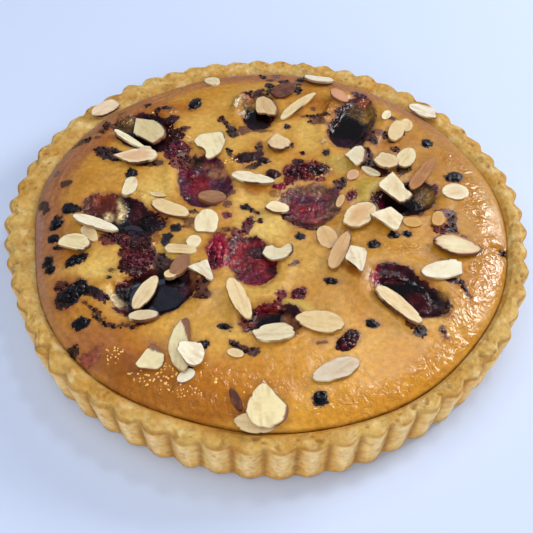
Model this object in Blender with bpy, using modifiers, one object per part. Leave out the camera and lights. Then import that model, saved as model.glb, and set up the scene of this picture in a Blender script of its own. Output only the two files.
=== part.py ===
"""Frangipane tart, 270 mm across, baked with plum halves, berries and flaked almonds.

Metres, +Z up. The origin is in the middle of the flat foot, +Y points to the
back of the tart and +X to its right. The crust is a fluted cup, the frangipane
fills it and puffs up over the rim, the fruit is sunk in the frangipane, and the
almond flakes lie on top, each on whatever is under it.
"""
import math

import bmesh
import bpy
import numpy as np
from mathutils import Matrix, Vector
from mathutils.bvhtree import BVHTree

MM = 0.001

# Driving sizes of the crust
RIM_RADIUS = 134.8 * MM
BROW_RADIUS = 133.4 * MM
CREST_RADIUS = 130.6 * MM
LIP_RADIUS = 126.6 * MM
SKIRT_RADIUS = 132.2 * MM
FOOT_RADIUS = 131.4 * MM
CREST_HEIGHT = 27.9 * MM
BROW_HEIGHT = 27.2 * MM
LIP_HEIGHT = 27.0 * MM
RIM_HEIGHT = 24.6 * MM
CREASE_HEIGHT = 25.1 * MM
SKIRT_HEIGHT = 1.2 * MM
FLOOR_THICKNESS = 6.0 * MM
FLOOR_RADIUS = 116.5 * MM
FLUTES = 60
FLUTE_STEPS = 4
FLUTE_DEPTH = 3.2 * MM
FLUTE_MIDDLE = 0.40
FIRST_FLUTE_TURN = math.radians(0.5)

# Driving sizes of the frangipane
EDGE_RADIUS = 123.8 * MM
EDGE_HEIGHT = 25.4 * MM
EDGE_SHIFT = 1.8 * MM
EDGE_SHIFT_DIRECTION = math.radians(-80.0)
EDGE_DENT = 3.6 * MM
PUFF_HEIGHT = 8.5 * MM
CROWN_HEIGHT = 1.0 * MM
GRID_CELLS = 32

# Fit between pieces, and the flakes' thickness
GAP = 0.4 * MM
FLAKE_THICKNESS = 1.5 * MM
OUTLINE_POINTS = 14
CHIP_POINTS = 8

# Plum halves and other large fruit: name, centre, length, width, turn in degrees, depth, dish
PLUMS = (
    ("plum_back_right", (48, 71), 50, 26, 72, 9.0, 2.2),
    ("plum_back", (-7, 77), 34, 22, 95, 8.0, 1.8),
    ("plum_back_left", (-71, 58), 38, 32, 135, 9.0, 1.8),
    ("plum_left_middle", (-35, 19), 42, 29, 100, 10.0, 1.0),
    ("plum_middle", (22, 1), 31, 29, 20, 10.0, 1.0),
    ("plum_front_middle", (-6.5, -36.5), 33, 25, 105, 10.0, 1.2),
    ("plum_right", (73, 9), 34, 26, 15, 9.0, 2.0),
    ("plum_left", (-74, -9), 46, 26, -25, 9.0, 1.6),
    ("plum_front_left", (-53, -57), 42, 30, 20, 10.0, 2.2),
    ("plum_front_right", (67, -53), 40, 27, -35, 9.0, 2.0),
    ("plum_front", (3, -72), 27, 19, -8, 7.0, 1.4),
)

# Whole berries sunk in the top: name, centre, length, width, turn, depth, crown
BERRIES = (
    ("berry_middle", (19, 26), 23, 14, 10, 6.0, 2.4),
    ("berry_red", (-25, -34), 23, 9, 86, 5.0, 2.0),
    ("berry_left", (-91, -57), 15, 10, 45, 5.0, 2.6),
    ("berry_front", (37, -83.5), 13, 8.5, 45, 5.0, 2.8),
)

# Small fruit fused to the frangipane: centre, length, width, turn, crown
SMALL_FRUIT = (
    ((-12, 37), 17, 9, 20, 1.8),
    ((2, 23.5), 8, 7, -30, 1.8),
    ((100, 26.5), 12, 8, 15, 2.2),
    ((88, 54), 8, 6.5, 70, 2.4),
    ((53, -25), 7, 6, 80, 2.0),
    ((64, -18.5), 6, 5.5, 0, 1.8),
    ((70.5, -17), 5.5, 5, 0, 1.8),
    ((15.5, -57), 9, 8, 60, 2.0),
    ((24.5, -111), 8, 7, 50, 2.2),
    ((49, -73), 6.5, 5.5, 0, 1.8),
    ((31, -49), 8, 5, -10, 1.6),
    ((-85, -75), 8, 7, 30, 2.2),
    ((-103, -3.5), 9, 8, 0, 2.4),
    ((-108, -13.5), 9, 7, 60, 2.2),
    ((-94, -38), 11, 7, 30, 2.0),
    ((-46, -17.5), 6.5, 5.5, -10, 1.8),
    ((-49.5, -25), 8, 5, 70, 1.8),
    ((43.5, 9), 9, 6, 60, 2.0),
    ((5.5, 13.5), 8, 5.5, -20, 2.0),
    ((-44, 82.5), 13, 7, 70, 1.8),
)

# Almond flakes from the bottom of the pile up. Each has its centre, length, width and turn in plan,
# then how far it narrows to its tip, how far its ends bend aside, the straight breaks as
# (direction, distance from the centre), and the lean as (degrees, direction it rises to).
FLAKES = (
    ("almond_01", (29, 111.5), 18.5, 18, 0, 0.1, 0, ((90, 5.5),), (4, 270)),
    ("almond_02", (40.5, 91), 13, 9, -40, 0.3, 0, (), (6, 90)),
    ("almond_03", (7.5, 95), 17.5, 12, 40, 0.2, 0, (), (5, 90)),
    ("almond_04", (-2.5, 78), 21.5, 13, 110, 0.2, 0, ((285, 9.5),), (4, 90)),
    ("almond_05", (16, 80), 33, 7, 50, 0.3, -1.2, (), (3, 53)),
    ("almond_06", (91, 85.5), 20.5, 10, 152, 0.1, 0, ((0, 8),), (0, 0)),
    ("almond_07", (-96.5, 82), 20.5, 9.5, 42, 0.1, 0, ((60, 7.5),), (0, 0)),
    ("almond_08", (-69.5, 59), 29, 19, 128, 0.4, 0, ((220, 8.5),), (5, 45)),
    ("almond_09", (-77.5, 48.5), 26, 5.5, -36, 0.4, 1.0, (), (4, 135)),
    ("almond_10", (-73, 35), 26, 15, -3, 0.2, 0, ((90, 4.5),), (3, 270)),
    ("almond_11", (-33.5, 44), 24, 19.5, 62, 0.2, 0, ((212, 6), (95, 8)), (6, 30)),
    ("almond_12", (5, 48), 17, 15, 97, 0.5, 0, (), (5, 270)),
    ("almond_13", (46.5, 38), 16.5, 14.5, 76, 0.2, 0, ((216, 4.5), (95, 6)), (8, 0)),
    ("almond_14", (75, 38.5), 17, 11.5, 63, 0.3, 0, (), (3, 90)),
    ("almond_15", (63, 33.5), 14.5, 13, 145, 0.1, 0, (), (3, 200)),
    ("almond_16", (82.5, 26), 29, 8.5, 58, 0.5, 0, (), (5, 150)),
    ("almond_17", (66.5, 13.5), 24.5, 19, 100, 0.2, 0, ((139, 7.8), (33, 7.8)), (6, 300)),
    ("almond_18", (-8.5, 18), 24, 10, -13, 0.4, 0, ((200, 10.5),), (4, 270)),
    ("almond_19", (-50, -5.5), 23, 11, -27, 0.2, 0, ((63, 4),), (6, 240)),
    ("almond_20", (4.5, -2.7), 13.5, 9, 5, 0.2, 0, (), (4, 270)),
    ("almond_21", (47, -6.8), 23, 14.5, 228, 0.1, 0, (), (4, 230)),
    ("almond_22", (60.5, -9.3), 21, 17, -20, 0, 0, ((232, 5), (-23, 7.4), (117, 5), (45, 6.6)), (4, 90)),
    ("almond_23", (-87, -16), 26, 8.5, -20, 0.2, 0, (), (4, 70)),
    ("almond_24", (-95, -29.8), 17.5, 13.5, -18, 0.1, 0, ((252, 3.6),), (5, 250)),
    ("almond_25", (36, -30.5), 27, 9, 68, 0.3, 0, (), (7, 0)),
    ("almond_26", (43.5, -37.5), 20, 15, -75, 0, 0, ((220, 5.2), (-15, 4.6), (74, 6.4), (160, 5.4)), (3, 0)),
    ("almond_27", (94.5, -25), 25.5, 14.5, -4, 0.3, 0, (), (6, 240)),
    ("almond_28", (86, -41), 25, 11, 195, 0.1, 0, ((10, 11),), (4, 250)),
    ("almond_29", (5.5, -32), 17, 10.5, 0, 0, 2.6, ((0, 7.5),), (4, 300)),
    ("almond_30", (-31, -45), 17.5, 15, -50, 0, 0, ((235, 3), (19, 4), (115, 4.4)), (5, 90)),
    ("almond_31", (-57, -57.5), 21.5, 8.5, 66, 0.1, 0, (), (3, 90)),
    ("almond_32", (-56, -72.5), 14.5, 9.5, 8, 0.1, 0, (), (4, 270)),
    ("almond_33", (-12.5, -62.5), 26, 8.8, -65, 0.1, 0, (), (3, 200)),
    ("almond_34", (3.5, -81), 20.5, 14, 190, 0.3, 0, (), (4, 270)),
    ("almond_35", (25, -74.3), 23, 12.5, 172, 0.2, 0, (), (3, 90)),
    ("almond_36", (62, -63.3), 30, 12, -50, 0.2, 0, (), (4, 210)),
    ("almond_37", (31.5, -98.5), 23.5, 11, 205, 0.3, 0, (), (3, 270)),
    ("almond_38", (-37, -88), 29, 10, 92, 0.1, -2.6, (), (5, 0)),
    ("almond_39", (-32.5, -92.7), 15.5, 13, -70, 0.2, 0, ((95, 5),), (3, 330)),
    ("almond_40", (-51.3, -94.4), 15, 13, -35, 0, 0, ((150, 6), (265, 5.5)), (4, 120)),
    ("almond_41", (-3.5, -123.5), 18, 9, -8, 0.1, 0, (), (0, 0)),
    ("almond_42", (1.5, -117), 20, 21, 100, 0.4, 0, ((156, 8), (45, 8.5)), (3, 0)),
    ("almond_43", (71.5, 61), 18, 9.5, 70, 0.2, 0, (), (3, 90)),
)

# Flakes fused to the frangipane: centre, length, width, turn, tip, breaks
FUSED_FLAKES = (
    ((-35.5, 108), 15, 10, -70, 0.3, ()),
    ((78, 68.5), 13, 8, 80, 0.2, ()),
    ((99, 14.5), 15, 12, 20, 0.0, ()),
    ((-73.5, 12), 15, 10, 80, 0.2, ((175, 3),)),
    ((-31, -13.5), 18, 12.5, 88, 0.2, ((268, 6.8),)),
    ((30, -21), 15, 11, 110, 0.1, ()),
    ((-42.5, -32), 16, 9, -3, 0.0, ((87, 3.2), (267, 3.2))),
    ((-89, -21.5), 13, 7.5, -50, 0.2, ()),
)

# Small chips of almond fused to the frangipane: centre, length, width, turn
FUSED_CHIPS = (
    ((55, 28), 12, 5, -32),
    ((67, 75.5), 10, 5, 65),
    ((45, 24.5), 9, 6, 60),
    ((73.5, -10), 10, 6, 0),
    ((87, -6.5), 10, 7, 70),
    ((-38, -25), 9, 6.5, 75),
    ((-57.5, 5.5), 9, 3.5, -10),
    ((-34, -102.5), 9, 5.5, 35),
    ((-13, -91), 8, 4.5, -15),
    ((-12, -113), 11, 4, 115),
)

# Colours as sRGB, from the photo
CRUST_COLOUR = (0.83, 0.66, 0.36)
FRANGIPANE_COLOUR = (0.80, 0.58, 0.22)
PLUM_COLOUR = (0.16, 0.04, 0.06)
BERRY_COLOUR = (0.25, 0.03, 0.05)
ALMOND_COLOUR = (0.90, 0.82, 0.62)


def paint(thing, colour, roughness):
    """Give an object its own Principled material in an sRGB colour."""
    material = bpy.data.materials.new(thing.name + "_finish")
    material.use_nodes = True
    shader = material.node_tree.nodes["Principled BSDF"]
    linear = [channel ** 2.2 for channel in colour]
    shader.inputs["Base Color"].default_value = (*linear, 1.0)
    shader.inputs["Roughness"].default_value = roughness
    shader.inputs["Metallic"].default_value = 0.0
    thing.data.materials.append(material)


def new_object(name, data, collection):
    """Link a new object that shows the given mesh or curve."""
    thing = bpy.data.objects.new(name, data)
    collection.objects.link(thing)
    return thing


def evaluated_mesh(thing):
    """A mesh of the object as its modifiers or its curve settings make it."""
    bpy.context.view_layer.update()
    depsgraph = bpy.context.evaluated_depsgraph_get()
    return bpy.data.meshes.new_from_object(thing.evaluated_get(depsgraph))


def apply_modifiers(thing):
    """Replace an object's mesh with its evaluated one."""
    mesh = evaluated_mesh(thing)
    thing.modifiers.clear()
    thing.data = mesh


def get_points(mesh):
    """The mesh's vertices as an array with a row for each."""
    points = np.empty(len(mesh.vertices) * 3)
    mesh.vertices.foreach_get("co", points)
    return points.reshape(-1, 3)


def set_points(mesh, points):
    """Move the mesh's vertices to the rows of an array."""
    mesh.vertices.foreach_set("co", points.ravel())
    mesh.update()


def swelling(angle, middle, spread):
    """Smooth hump of height 1 at the middle direction, by its spread, all in degrees but the angle."""
    aside = np.degrees(angle) - middle
    aside = (aside + 180) % 360 - 180
    return np.exp(-(aside / spread) ** 2)


def edge_radius(angle):
    """Radius of the frangipane's edge, a little towards the front and dented at its left."""
    shift = EDGE_SHIFT * np.cos(angle - EDGE_SHIFT_DIRECTION)
    waves = 0.5 * MM * np.sin(5 * angle + 1.0) + 0.3 * MM * np.sin(11 * angle)
    return EDGE_RADIUS + shift + waves - EDGE_DENT * swelling(angle, 196, 16)


def ellipse_distance(x, y, centre, length, width, turn):
    """Distance from a centre in units of an ellipse's own radius, so 1 is on the ellipse."""
    angle = math.radians(turn)
    across_x = x - centre[0] * MM
    across_y = y - centre[1] * MM
    along = across_x * math.cos(angle) + across_y * math.sin(angle)
    aside = across_y * math.cos(angle) - across_x * math.sin(angle)
    return np.hypot(along / (length * MM / 2), aside / (width * MM / 2))


def dome(x, y):
    """Smooth top of the frangipane: steep at the edge, then nearly level, with broad swells."""
    share = np.clip(np.hypot(x, y) / edge_radius(np.arctan2(y, x)), 0, 1)
    puff = PUFF_HEIGHT * (1 - share ** 9) ** 0.6 + CROWN_HEIGHT * (1 - share ** 2)
    swell = 0.6 * MM * np.sin(x / (19 * MM) + 0.8) * np.sin(y / (16 * MM) - 0.4)
    return EDGE_HEIGHT + puff + swell * (1 - share ** 4)


def surface(x, y):
    """Top of the frangipane with the lip that has risen round each piece of fruit."""
    height = dome(x, y)
    share = np.clip(np.hypot(x, y) / EDGE_RADIUS, 0, 1)
    for _, centre, length, width, turn, _, _ in PLUMS:
        distance = ellipse_distance(x, y, centre, length, width, turn)
        height = height + 1.1 * MM * np.exp(-((distance - 1.3) / 0.24) ** 2) * (1 - share ** 8)
    return height


def build_crust(collection):
    """Fluted pastry cup: a turned profile whose outer wall bulges out in lobes."""
    crease = EDGE_RADIUS + GAP
    profile = (
        (0, FLOOR_THICKNESS),
        (FLOOR_RADIUS, FLOOR_THICKNESS),
        (crease, CREASE_HEIGHT),
        (LIP_RADIUS, LIP_HEIGHT),
        (CREST_RADIUS, CREST_HEIGHT),
        (BROW_RADIUS, BROW_HEIGHT),
        (RIM_RADIUS, RIM_HEIGHT),
        (SKIRT_RADIUS, SKIRT_HEIGHT),
        (FOOT_RADIUS, 0),
        (0, 0),
    )
    mesh = bpy.data.meshes.new("crust")
    corners = [(radius, 0, height) for radius, height in profile]
    links = [(i, i + 1) for i in range(len(corners) - 1)]
    mesh.from_pydata(corners, links, [])
    crust = new_object("crust", mesh, collection)
    screw = crust.modifiers.new("turn", "SCREW")
    screw.steps = FLUTES * FLUTE_STEPS
    screw.render_steps = screw.steps
    screw.use_merge_vertices = True
    screw.merge_threshold = 0.00005
    apply_modifiers(crust)
    flute_wall(crust.data, crease)
    crust.data.shade_smooth()
    crust.data.set_sharp_from_angle(angle=math.radians(35))
    paint(crust, CRUST_COLOUR, 0.75)
    return crust


def flute_wall(mesh, crease):
    """Bulge the outer wall into uneven lobes and fit the inner wall to the frangipane's edge."""
    points = get_points(mesh)
    radius = np.hypot(points[:, 0], points[:, 1])
    angle = np.arctan2(points[:, 1], points[:, 0])
    place = angle / (2 * math.pi / FLUTES) - 0.5
    lobe = np.round(place)
    aside = 2 * (place - lobe)
    lobe_shape = 0.5 * (1 - aside ** 2) + 0.25 * (1 + np.cos(math.pi * aside))
    dice = np.random.default_rng(11)
    lobe_size = np.clip(1 + 0.14 * dice.standard_normal(FLUTES), 0.7, 1.35)
    lobe_size[20:22] = 1.5
    lobe_lift = 0.4 * MM * dice.standard_normal(FLUTES)
    index = lobe.astype(int) % FLUTES
    outer = np.clip((radius - LIP_RADIUS) / (RIM_RADIUS - LIP_RADIUS), 0, 1)
    bulge = FLUTE_DEPTH * (lobe_size[index] * lobe_shape - FLUTE_MIDDLE)
    slow = 0.7 * MM * np.sin(2 * angle + 0.7) + 0.4 * MM * np.sin(7 * angle)
    slow = slow - 1.6 * MM * swelling(angle, 0, 35) + 3.0 * MM * swelling(angle, 148, 22)
    slow = slow - 4.0 * MM * swelling(angle, 206, 15)
    spread_foot = 2.4 * MM * swelling(angle, 280, 22) * np.clip(1 - points[:, 2] / CREST_HEIGHT, 0, 1)
    inner = np.clip((CREST_RADIUS - radius) / (CREST_RADIUS - crease), 0, 1)
    inner = np.where(radius > FLOOR_RADIUS / 2, inner, 0)
    turned = radius + outer * (bulge + slow) + inner * (edge_radius(angle) - EDGE_RADIUS)
    turned = turned + spread_foot * (radius > FLOOR_RADIUS + 2 * MM)
    top = np.clip((points[:, 2] - EDGE_HEIGHT) / (CREST_HEIGHT - EDGE_HEIGHT), 0, 1)
    lift = lobe_lift[index] * lobe_shape * outer + 0.5 * MM * np.sin(3 * angle + 2)
    angle = angle + FIRST_FLUTE_TURN * outer
    points[:, 0] = turned * np.cos(angle)
    points[:, 1] = turned * np.sin(angle)
    points[:, 2] += top * lift
    set_points(mesh, points)


def build_frangipane(collection):
    """The filling before the fruit: a square grid rounded to a disc, with a wall and a flat base."""
    bm = bmesh.new()
    bmesh.ops.create_grid(bm, x_segments=GRID_CELLS, y_segments=GRID_CELLS, size=1)
    for vertex in bm.verts:
        across = vertex.co.x * math.sqrt(1 - vertex.co.y ** 2 / 2)
        back = vertex.co.y * math.sqrt(1 - vertex.co.x ** 2 / 2)
        reach = float(edge_radius(math.atan2(back, across)))
        vertex.co.x = across * reach
        vertex.co.y = back * reach
        vertex.co.z = float(surface(vertex.co.x, vertex.co.y))
    rim = [edge for edge in bm.edges if edge.is_boundary]
    wall = bmesh.ops.extrude_edge_only(bm, edges=rim)["geom"]
    for vertex in (item for item in wall if isinstance(item, bmesh.types.BMVert)):
        reach = math.hypot(vertex.co.x, vertex.co.y)
        shrink = (reach - EDGE_RADIUS + FLOOR_RADIUS - GAP) / reach
        vertex.co.x *= shrink
        vertex.co.y *= shrink
        vertex.co.z = FLOOR_THICKNESS + GAP
    base = [edge for edge in bm.edges if edge.is_boundary]
    bmesh.ops.edgeloop_fill(bm, edges=base)
    bmesh.ops.recalc_face_normals(bm, faces=bm.faces)
    mesh = bpy.data.meshes.new("frangipane")
    bm.to_mesh(mesh)
    bm.free()
    return new_object("frangipane", mesh, collection)


def fruit_outline(angle):
    """Uneven outline of a piece of fruit, as a share of its ellipse."""
    return 1 + 0.05 * np.sin(2 * angle + 1.1) + 0.04 * np.sin(3 * angle + 0.3)


def sunk_fruit(name, collection, piece, sides, rings, grow=0.0, cutter=False):
    """A ball pressed to a fruit's form and sunk in the dome, or the room that it needs.

    The lower half is an ellipsoid of the piece's depth. The upper half follows
    the crown, which is negative for a dished plum half. A cutter is larger by
    grow all round and goes straight up from its widest ring.
    """
    centre, length, width, turn, depth, crown = piece
    bm = bmesh.new()
    bmesh.ops.create_uvsphere(bm, u_segments=sides, v_segments=rings, radius=1)
    mesh = bpy.data.meshes.new(name)
    bm.to_mesh(mesh)
    bm.free()
    ball = get_points(mesh)
    around = np.arctan2(ball[:, 1], ball[:, 0])
    reach = np.hypot(ball[:, 0], ball[:, 1])
    above = ball[:, 2] > 0.01
    if cutter:
        reach = np.where(above & (reach > 0.1), 1 - 0.12 * (ball[:, 2] > 0.6), reach)
        top = np.where(ball[:, 2] > 0.6, 12 * MM, 6 * MM)
    elif crown < 0:
        top = crown * MM * (1 - reach ** 2)
    else:
        top = crown * MM * ball[:, 2]
    along = np.cos(around) * reach * fruit_outline(around) * (length * MM / 2 + grow)
    aside = np.sin(around) * reach * fruit_outline(around) * (width * MM / 2 + grow)
    angle = math.radians(turn)
    points = np.empty_like(ball)
    points[:, 0] = centre[0] * MM + along * math.cos(angle) - aside * math.sin(angle)
    points[:, 1] = centre[1] * MM + along * math.sin(angle) + aside * math.cos(angle)
    height = np.where(above, top, (depth * MM + grow) * ball[:, 2])
    sink = 1.0 * MM if crown < 0 else 0.3 * MM
    points[:, 2] = dome(points[:, 0], points[:, 1]) - sink + height
    set_points(mesh, points)
    mesh.shade_smooth()
    return new_object(name, mesh, collection)


def build_fruit(collection, cutters):
    """Plum halves and large berries, and a cutter for the hollow under each."""
    pieces = []
    for name, centre, length, width, turn, depth, dish in PLUMS:
        form = (centre, length, width, turn, depth, -dish)
        plum = sunk_fruit(name, collection, form, 12, 6)
        paint(plum, PLUM_COLOUR, 0.25)
        room = sunk_fruit(name + "_room", cutters, form, 12, 6, GAP, True)
        pieces.append(plum)
        mark_cutter(room)
    for name, *form in BERRIES:
        berry = sunk_fruit(name, collection, form, 12, 6)
        paint(berry, BERRY_COLOUR, 0.3)
        room = sunk_fruit(name + "_room", cutters, form, 12, 6, GAP, True)
        pieces.append(berry)
        mark_cutter(room)
    return pieces


def mark_cutter(thing):
    """Show a cutter as a wire and keep it out of renders."""
    thing.hide_render = True
    thing.display_type = "WIRE"


def combine(thing, operation, others):
    """Cut a collection's objects from a mesh, or join them to it, and remove them."""
    boolean = thing.modifiers.new(operation.lower(), "BOOLEAN")
    boolean.operation = operation
    boolean.operand_type = "COLLECTION"
    boolean.collection = others
    boolean.solver = "EXACT"
    apply_modifiers(thing)
    for other in list(others.objects):
        bpy.data.objects.remove(other)


def cut_straight(points, direction, distance):
    """The part of an outline that lies on the near side of a straight break."""
    normal = Vector((math.cos(direction), math.sin(direction)))
    kept = []
    for here, there in zip(points, points[1:] + points[:1]):
        depth_here = here.dot(normal) - distance
        depth_there = there.dot(normal) - distance
        if depth_here <= 0:
            kept.append(here)
        if depth_here * depth_there < 0:
            kept.append(here.lerp(there, depth_here / (depth_here - depth_there)))
    return kept


def flake_outline(length, width, turn, tip=0.0, bend=0.0, breaks=(), count=OUTLINE_POINTS):
    """Outline of a flake in its own plane: an oval drawn in to a tip at +X, bent, then broken."""
    points = []
    for i in range(count):
        angle = 2 * math.pi * i / count
        along = math.cos(angle)
        taper = 1 - tip * (0.5 + 0.5 * along) ** 1.5
        aside = width / 2 * math.sin(angle) * taper + bend * along ** 2 - bend / 2
        points.append(Vector((length / 2 * along * MM, aside * MM)))
    for direction, distance in breaks:
        points = cut_straight(points, math.radians(direction - turn), distance * MM)
    spaced = []
    for point in points:
        if all((point - other).length > 0.5 * MM for other in spaced):
            spaced.append(point)
    return spaced


def plan_points(outline, centre, turn, shares):
    """Points inside and just outside a flake's outline, as seen from above."""
    spin = Matrix.Rotation(math.radians(turn), 2)
    middle = sum(outline, Vector((0, 0))) / len(outline)
    ends = [here.lerp(there, 0.5) for here, there in zip(outline, outline[1:] + outline[:1])]
    origin = Vector(centre) * MM
    return [origin + spin @ middle.lerp(point, share) for share in shares for point in outline + ends]


def heights_below(tree, plan):
    """Rows of (x, y, height) for the plan points that have something under them."""
    rows = []
    for point in plan:
        hit = tree.ray_cast(Vector((point.x, point.y, 0.2)), Vector((0, 0, -1)))[0]
        if hit:
            rows.append((hit.x, hit.y, hit.z))
    return np.array(rows)


def resting_matrix(tree, outline, centre, turn, lean, clearance):
    """Place of a flake that lies on what is under it.

    A plane is fitted to the heights under the outline and tipped by the lean.
    It is then raised until it clears every height by the clearance.
    """
    plan = plan_points(outline, centre, turn, (0.1, 0.35, 0.6, 0.85, 1.0, 1.09))
    hits = heights_below(tree, plan)
    heights = hits[:, 2]
    rows = np.column_stack((hits[:, :2], np.ones(len(hits))))
    slope_x, slope_y, level = np.linalg.lstsq(rows, heights, rcond=None)[0]
    rise = math.tan(math.radians(lean[0]))
    slope_x += rise * math.cos(math.radians(lean[1]))
    slope_y += rise * math.sin(math.radians(lean[1]))
    level = (heights - rows[:, 0] * slope_x - rows[:, 1] * slope_y).max()
    normal = Vector((-slope_x, -slope_y, 1)).normalized()
    heading = Vector((math.cos(math.radians(turn)), math.sin(math.radians(turn)), 0))
    heading = (heading - heading.dot(normal) * normal).normalized()
    aside = normal.cross(heading)
    x, y = centre[0] * MM, centre[1] * MM
    lift = (clearance + FLAKE_THICKNESS / 2) / normal.z
    place = Matrix((heading, aside, normal)).transposed().to_4x4()
    place.translation = (x, y, x * slope_x + y * slope_y + level + lift)
    return place


def flake_curve(name, outline, thickness):
    """A flat slice as a filled 2D curve with a thickness."""
    curve = bpy.data.curves.new(name, "CURVE")
    curve.dimensions = "2D"
    curve.fill_mode = "BOTH"
    curve.extrude = thickness / 2
    spline = curve.splines.new("POLY")
    spline.points.add(len(outline) - 1)
    for point, corner in zip(spline.points, outline):
        point.co = (corner.x, corner.y, 0, 1)
    spline.use_cyclic_u = True
    return curve


def world_triangles(things):
    """Corners and faces of several objects in world space, for ray casts."""
    corners = []
    faces = []
    for thing in things:
        mesh = evaluated_mesh(thing)
        first = len(corners)
        corners.extend(thing.matrix_world @ vertex.co for vertex in mesh.vertices)
        faces.extend([first + index for index in face.vertices] for face in mesh.polygons)
        bpy.data.meshes.remove(mesh)
    return BVHTree.FromPolygons(corners, faces)


def build_flakes(collection, below):
    """Almond flakes, each laid on the pieces that are already there."""
    placed = list(below)
    for name, centre, length, width, turn, tip, bend, breaks, lean in FLAKES:
        outline = flake_outline(length, width, turn, tip, bend, breaks)
        place = resting_matrix(world_triangles(placed), outline, centre, turn, lean, GAP)
        flake = new_object(name, flake_curve(name, outline, FLAKE_THICKNESS), collection)
        flake.location = place.to_translation()
        flake.rotation_euler = place.to_euler()
        paint(flake, ALMOND_COLOUR, 0.6)
        bpy.context.view_layer.update()
        placed.append(flake)


def fused_plate(name, collection, tree, outline, centre, turn):
    """A flake as a closed mesh that stands 0.9 mm proud and goes 2 mm into the frangipane."""
    proud = 0.9 * MM
    deep = 2.6 * MM
    thickness = proud + deep
    clearance = proud - thickness / 2 - FLAKE_THICKNESS / 2
    place = resting_matrix(tree, outline, centre, turn, (0, 0), clearance)
    shape = new_object(name, flake_curve(name, outline, thickness), collection)
    mesh = evaluated_mesh(shape)
    bpy.data.objects.remove(shape)
    bm = bmesh.new()
    bm.from_mesh(mesh)
    bmesh.ops.remove_doubles(bm, verts=bm.verts, dist=0.00001)
    bmesh.ops.recalc_face_normals(bm, faces=bm.faces)
    bm.to_mesh(mesh)
    bm.free()
    plate = new_object(name, mesh, collection)
    plate.location = place.to_translation()
    plate.rotation_euler = place.to_euler()


def add_fused_toppings(frangipane, toppings):
    """Join small berries, flakes and chips to the frangipane under them."""
    tree = world_triangles([frangipane])
    for number, (centre, length, width, turn, crown) in enumerate(SMALL_FRUIT):
        form = (centre, length, width, turn, 2.2, crown)
        sunk_fruit(f"small_fruit_{number}", toppings, form, 8, 4)
    for number, (centre, length, width, turn, tip, breaks) in enumerate(FUSED_FLAKES):
        outline = flake_outline(length, width, turn, tip, 0, breaks)
        fused_plate(f"fused_flake_{number}", toppings, tree, outline, centre, turn)
    for number, (centre, length, width, turn) in enumerate(FUSED_CHIPS):
        outline = flake_outline(length, width, turn, count=CHIP_POINTS)
        fused_plate(f"fused_chip_{number}", toppings, tree, outline, centre, turn)
    combine(frangipane, "UNION", toppings)


def main():
    """Clear the scene and build the tart from the crust up."""
    for thing in list(bpy.data.objects):
        bpy.data.objects.remove(thing)
    tart = bpy.data.collections.new("frangipane_tart")
    cutters = bpy.data.collections.new("cutters")
    toppings = bpy.data.collections.new("toppings")
    for collection in (tart, cutters, toppings):
        bpy.context.scene.collection.children.link(collection)
    crust = build_crust(tart)
    frangipane = build_frangipane(tart)
    fruit = build_fruit(tart, cutters)
    combine(frangipane, "DIFFERENCE", cutters)
    add_fused_toppings(frangipane, toppings)
    frangipane.data.shade_smooth()
    frangipane.data.materials.clear()
    paint(frangipane, FRANGIPANE_COLOUR, 0.45)
    build_flakes(tart, [crust, frangipane] + fruit)


main()
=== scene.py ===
"""Looks of the frangipane tart: baked crust, filling, plums, berries and flaked almonds.

Lengths in the tables and functions are millimetres in the part's own frame: the
origin is in the middle of the foot, +Z up, +Y to the back. A mesh is turned to
metres only where it is made.
"""
import math

import bpy
import numpy as np
from mathutils import Matrix


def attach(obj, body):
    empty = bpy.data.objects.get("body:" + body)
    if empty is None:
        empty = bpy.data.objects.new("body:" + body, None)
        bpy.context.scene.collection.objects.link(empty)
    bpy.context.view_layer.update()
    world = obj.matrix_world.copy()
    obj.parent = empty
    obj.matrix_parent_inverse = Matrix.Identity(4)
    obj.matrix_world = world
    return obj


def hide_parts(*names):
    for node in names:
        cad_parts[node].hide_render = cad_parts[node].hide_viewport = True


MM = 0.001

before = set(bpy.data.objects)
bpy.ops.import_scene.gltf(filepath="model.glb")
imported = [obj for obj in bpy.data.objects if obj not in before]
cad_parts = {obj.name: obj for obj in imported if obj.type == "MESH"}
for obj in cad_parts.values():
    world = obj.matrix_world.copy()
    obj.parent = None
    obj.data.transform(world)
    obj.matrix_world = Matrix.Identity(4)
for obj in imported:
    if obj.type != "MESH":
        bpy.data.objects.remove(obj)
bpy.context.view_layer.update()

# Sizes that the solids were made from
CREST_RADIUS, CREST_HEIGHT = 130.6, 27.9
RIM_RADIUS, FOOT_RADIUS = 134.8, 131.4
LIP_RADIUS, BROW_RADIUS = 126.6, 133.4
FLOOR_RADIUS, FLOOR_THICKNESS = 116.5, 6.0
FLUTES, FLUTE_DEPTH, FLUTE_MIDDLE = 60, 3.2, 0.40
FIRST_FLUTE_TURN = math.radians(0.5)
EDGE_RADIUS, EDGE_HEIGHT = 123.8, 25.4
EDGE_SHIFT, EDGE_SHIFT_DIRECTION, EDGE_DENT = 1.8, math.radians(-80.0), 3.6
PUFF_HEIGHT, CROWN_HEIGHT = 8.5, 1.0
GAP = 0.4

# Fineness of the meshes: columns round a piece
CRUST_COLUMNS = 1200
FILLING_COLUMNS = 680
FRUIT_COLUMNS = 120
FLAKE_COLUMNS = 84
SMALL_COLUMNS = 32

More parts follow.
